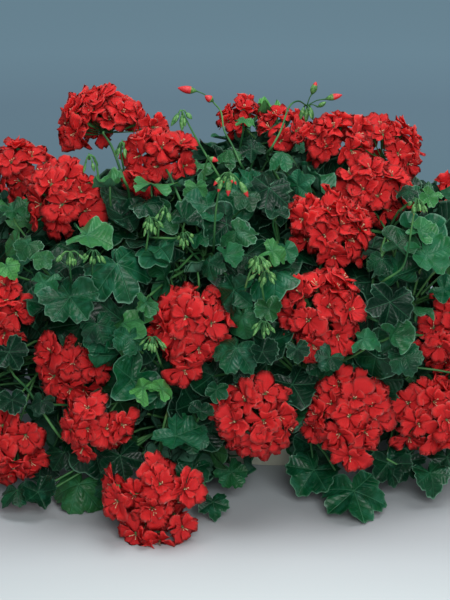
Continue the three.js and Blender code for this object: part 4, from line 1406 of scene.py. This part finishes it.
def ivy_leaf():
    """Leaf skin: u and v are the place on the blade, with the tip along u. A main vein runs up the middle
    of each lobe, and side veins leave it at a slant, with the skin puckered between them. Paler bluish
    green patches, more of them on paler leaves, are a painted sheen."""
    finish = Finish("ivy_leaf")
    blade = finish.node("ShaderNodeUVMap", {"uv_map": "blade"})
    along = finish.part(blade, "X")
    aside = finish.part(blade, "Y")
    angle = along.maths("ARCTAN2", aside, along)
    far = (along * along + aside * aside) ** 0.5
    turn = angle.maths("PINGPONG", angle / LOBE_ANGLE, 0.5)
    off_vein = far * turn * LOBE_ANGLE
    main = 1 - finish.ramp(off_vein, 0.004, 0.028)
    slant = far.maths("PINGPONG", far * 5.2 - turn * 3.4, 0.5)
    side = (1 - finish.ramp(slant, 0.02, 0.10)) * finish.ramp(off_vein, 0.01, 0.05)
    place = finish.place()
    mottle = finish.noise(place, scale=70.0, detail=5.0)
    crinkle = finish.noise(place, scale=120.0, roughness=0.5)
    tone = finish.mark("tone")
    youth = finish.mark("youth")
    share = finish.mark("share")
    rimmed = finish.mark("rimmed")
    under = finish.mark("under") > 0.5
    green = finish.mix(finish.ramp(mottle * 0.9 + tone * 0.7, 0.45, 1.15), LEAF_DARK, LEAF_GREEN)
    # Painted sheen: paler bluish green patches where the crinkle is high.
    green = finish.mix(finish.ramp(crinkle + tone * 0.3, 0.58, 0.90) * 0.55, green, LEAF_PAINTED_SHEEN)
    green = finish.mix(youth * (0.30 + share * 0.45 + mottle * 0.5), green, LEAF_YOUNG)
    green = finish.mix(main * 0.40 + side * 0.10, green, LEAF_VEIN)
    green = finish.mix(finish.ramp(share, 0.93, 1.0) * rimmed * (0.7 + youth * 0.3), green, LEAF_MARGIN)
    tint = finish.mix(under * (0.85 - youth * 0.6), green, LEAF_UNDER)
    cells = finish.noise(place, scale=900.0, detail=2.0)
    pucker = finish.ramp(slant, 0.0, 0.5) * finish.ramp(off_vein, 0.0, 0.12)
    relief = (pucker * 0.2 + crinkle * 1.5 - main - side * 0.3) * (1 - under * 1.8) + cells * 0.05
    return finish.surface(
        Base_Color=tint, Roughness=0.24 + cells * 0.10 + mottle * 0.16 + under * 0.3,
        Normal=finish.bump(relief, distance=0.0010, strength=0.8), Specular_IOR_Level=0.22,
    )


def petiole_lines(joints, centre, normal):
    """Petioles that bow from a stem joint and meet the blade square, from behind."""
    below = centre - normal * PETIOLE_RISE
    bow = (joints + below) / 2 + [0, 0, PETIOLE_BOW]
    knots = np.stack([joints, bow, below, centre - normal * PETIOLE_GAP], axis=1)
    return eased_line(knots, np.linspace(0, 1, PETIOLE_STEPS))


leaf_material = ivy_leaf()
random = np.random.default_rng(LEAF_SEED)
heroes = hero_leaves()
leaf_groups = [(heroes, HERO_RINGS, HERO_SIDES)]
for layer in LEAF_LAYERS:
    spread = layer_leaves(layer["places"], layer["span"], layer["depths"], layer["radii"], random)
    leaf_groups.append((kept_leaves(spread, heroes), layer["rings"], layer["sides"]))

grown = []
for leaves, rings, sides in leaf_groups:
    centre, normal = leaves["centre"], leaves["normal"]
    blade_points, blade_faces, facts = leaf_blades(leaves, rings, sides, random)
    blade_points[..., 2] = np.maximum(blade_points[..., 2], FLOOR_GAP)
    leaves["rimmed"] = random.random(len(centre)) ** 1.4
    spring = spring_points(centre, PETIOLE_REACH, PETIOLE_LIFT, behind=-normal)
    stalk_lines = petiole_lines(stem_joints[spring], centre, normal)
    stalk_radii = np.broadcast_to(np.linspace(*PETIOLE_RADII, PETIOLE_STEPS), stalk_lines.shape[:2])
    stalk_bodies = tubes(stalk_lines, stalk_radii, PETIOLE_SIDES[rings])
    grown.append((leaves, joint_shoot[spring], blade_points, blade_faces, facts, *stalk_bodies))

for shoot in range(len(shoot_courses)):
    bodies, stalk_bodies, uvs, rims = [], [stem_bodies[shoot]], [], []
    marks = {"tone": [], "youth": [], "rimmed": [], "share": [], "under": []}
    for leaves, owner, blade_points, blade_faces, facts, stalk_points, stalk_faces in grown:
        own = owner == shoot
        count, each = own.sum(), blade_points.shape[1]
        if not count:
            continue
        bodies.append(copied(blade_points[own], blade_faces))
        stalk_bodies.append(copied(stalk_points[own], stalk_faces))
        for key in ("tone", "youth", "rimmed"):
            marks[key].append(np.repeat(leaves[key][own], each))
        for key in ("share", "under"):
            marks[key].append(np.tile(facts[key], count))
        uvs.append(facts["uv"][own].reshape(-1, 2))
        rims.append(np.tile(facts["rim"], count))
    name = f"shoot_{shoot + 1:02d}"
    points, faces = joined(stalk_bodies)
    piece(f"{name}_stem", points, faces, stem_material, replaces=[name])
    points, faces = joined(bodies)
    marks = {key: np.concatenate(values) for key, values in marks.items()}
    piece(
        f"{name}_leaves", points, faces, leaf_material, marks,
        uv=np.concatenate(uvs), sharp=np.concatenate(rims),
    )

# Floor, light and view
# A plain pale studio floor that falls off to grey blue behind, under a soft box overhead and one in front.
# The camera stands where the picture was taken from.
FLOOR_HALF = 9.0
FLOOR_FRONT = (-0.03, -1.20, 0.0)
FLOOR_REACH = 5.0

# The floor's tint at distances, in metres, from a point in front of the pot. It darkens from 0.78 to 0.97 m,
# painted shade where the plant's shadow falls just in front of it, and from 2.2 m it is painted paler again,
# where less light falls.
FLOOR_TINTS = [
    (0.78, (0.572, 0.636, 0.647, 1)), (0.90, (0.486, 0.530, 0.550, 1)), (0.97, (0.400, 0.430, 0.450, 1)),
    (1.10, (0.390, 0.435, 0.460, 1)), (1.60, (0.370, 0.440, 0.480, 1)), (2.20, (0.160, 0.255, 0.310, 1)),
    (2.80, (0.235, 0.360, 0.450, 1)), (3.30, (0.335, 0.520, 0.635, 1)), (4.50, (0.470, 0.725, 0.870, 1)),
]

# Under the front lamp the floor is darker, so that it looks evenly pale there, and far in front it is painted
# paler, where less light falls. Both tints fade in between two places along y, in metres.
FLOOR_UNDER_LAMP = (0.330, 0.360, 0.375, 1)
UNDER_LAMP_FROM, UNDER_LAMP_TO = -1.10, -0.42
FLOOR_FAR = (0.560, 0.660, 0.720, 1)
FAR_FROM, FAR_TO = -4.2, -1.6

SOFT_BOXES = [
    dict(name="overhead", place=(0.25, -0.12, 1.9), aim=(0, -0.02, 0.12), size=(1.3, 1.1), power=28.0,
         colour=(1.0, 1.0, 1.0)),
    dict(name="front", place=(0.3, -2.2, 1.3), aim=(0, 0, 0.15), size=(1.2, 1.0), power=43.0,
         colour=(1.0, 0.99, 0.98)),
]
ROOM_TINT = (0.70, 0.76, 0.80, 1)
ROOM_LIGHT = 0.30
SENSOR_SIZE = 36.0


def studio_floor():
    """Pale in front, with painted shade just in front of the pot, grey blue behind the pot, and painted paler
    again far off, where less light falls.
    """
    finish = Finish("studio_floor")
    place = finish.place()
    flat = finish.node("ShaderNodeVectorMath", {"operation": "SUBTRACT"}, {0: place, 1: FLOOR_FRONT})
    away = finish.node("ShaderNodeVectorMath", {"operation": "LENGTH"}, {0: flat}, out="Value")
    stops = [(distance / FLOOR_REACH, tint) for distance, tint in FLOOR_TINTS]
    tint = finish.node("ShaderNodeValToRGB", {"stops": stops}, {"Fac": away / FLOOR_REACH}, out="Color")
    depth = finish.part(place, "Y")
    tint = finish.mix(finish.ramp(depth, UNDER_LAMP_FROM, UNDER_LAMP_TO), FLOOR_UNDER_LAMP, tint)
    # Painted light: the floor far in front is painted paler, where less light falls.
    tint = finish.mix(finish.ramp(depth, FAR_FROM, FAR_TO), FLOOR_FAR, tint)
    return finish.surface(Base_Color=tint, Roughness=1.0, Specular_IOR_Level=0.0)


floor_mesh = bpy.data.meshes.new("studio_floor")
floor_corners = FLOOR_HALF * np.array([(-1, -1, 0), (1, -1, 0), (1, 1, 0), (-1, 1, 0)])
floor_mesh.from_pydata(floor_corners.tolist(), [], [(0, 1, 2, 3)])
floor_mesh.materials.append(studio_floor())
floor = bpy.data.objects.new("studio_floor", floor_mesh)
bpy.context.scene.collection.objects.link(floor)


def soft_box(name, place, aim, size, power, colour):
    """An area lamp at a place, turned to face its aim."""
    data = bpy.data.lights.new(name, "AREA")
    data.shape = "RECTANGLE"
    data.size, data.size_y = size
    data.energy = power
    data.color = colour
    lamp = bpy.data.objects.new(name, data)
    lamp.location = place
    way = Vector(aim) - Vector(place)
    lamp.rotation_euler = way.to_track_quat("-Z", "Y").to_euler()
    bpy.context.scene.collection.objects.link(lamp)


for box in SOFT_BOXES:
    soft_box(**box)

world = bpy.data.worlds.new("studio")
world.use_nodes = True
background = world.node_tree.nodes["Background"]
background.inputs["Color"].default_value = ROOM_TINT
background.inputs["Strength"].default_value = ROOM_LIGHT
bpy.context.scene.world = world

camera_data = bpy.data.cameras.new("view")
camera_data.sensor_width = SENSOR_SIZE
camera_data.lens = SENSOR_SIZE * SIGHT_DISTANCE / (2 * FRAME_MIDDLE[1])
camera = bpy.data.objects.new("view", camera_data)
camera.location = (SIGHT_AIM - SIGHT_DISTANCE * along_sight) * MM
camera.rotation_euler = (math.pi / 2 - SIGHT_TILT, 0, 0)
bpy.context.scene.collection.objects.link(camera)
bpy.context.scene.camera = camera
bpy.context.scene.view_settings.view_transform = "Standard"
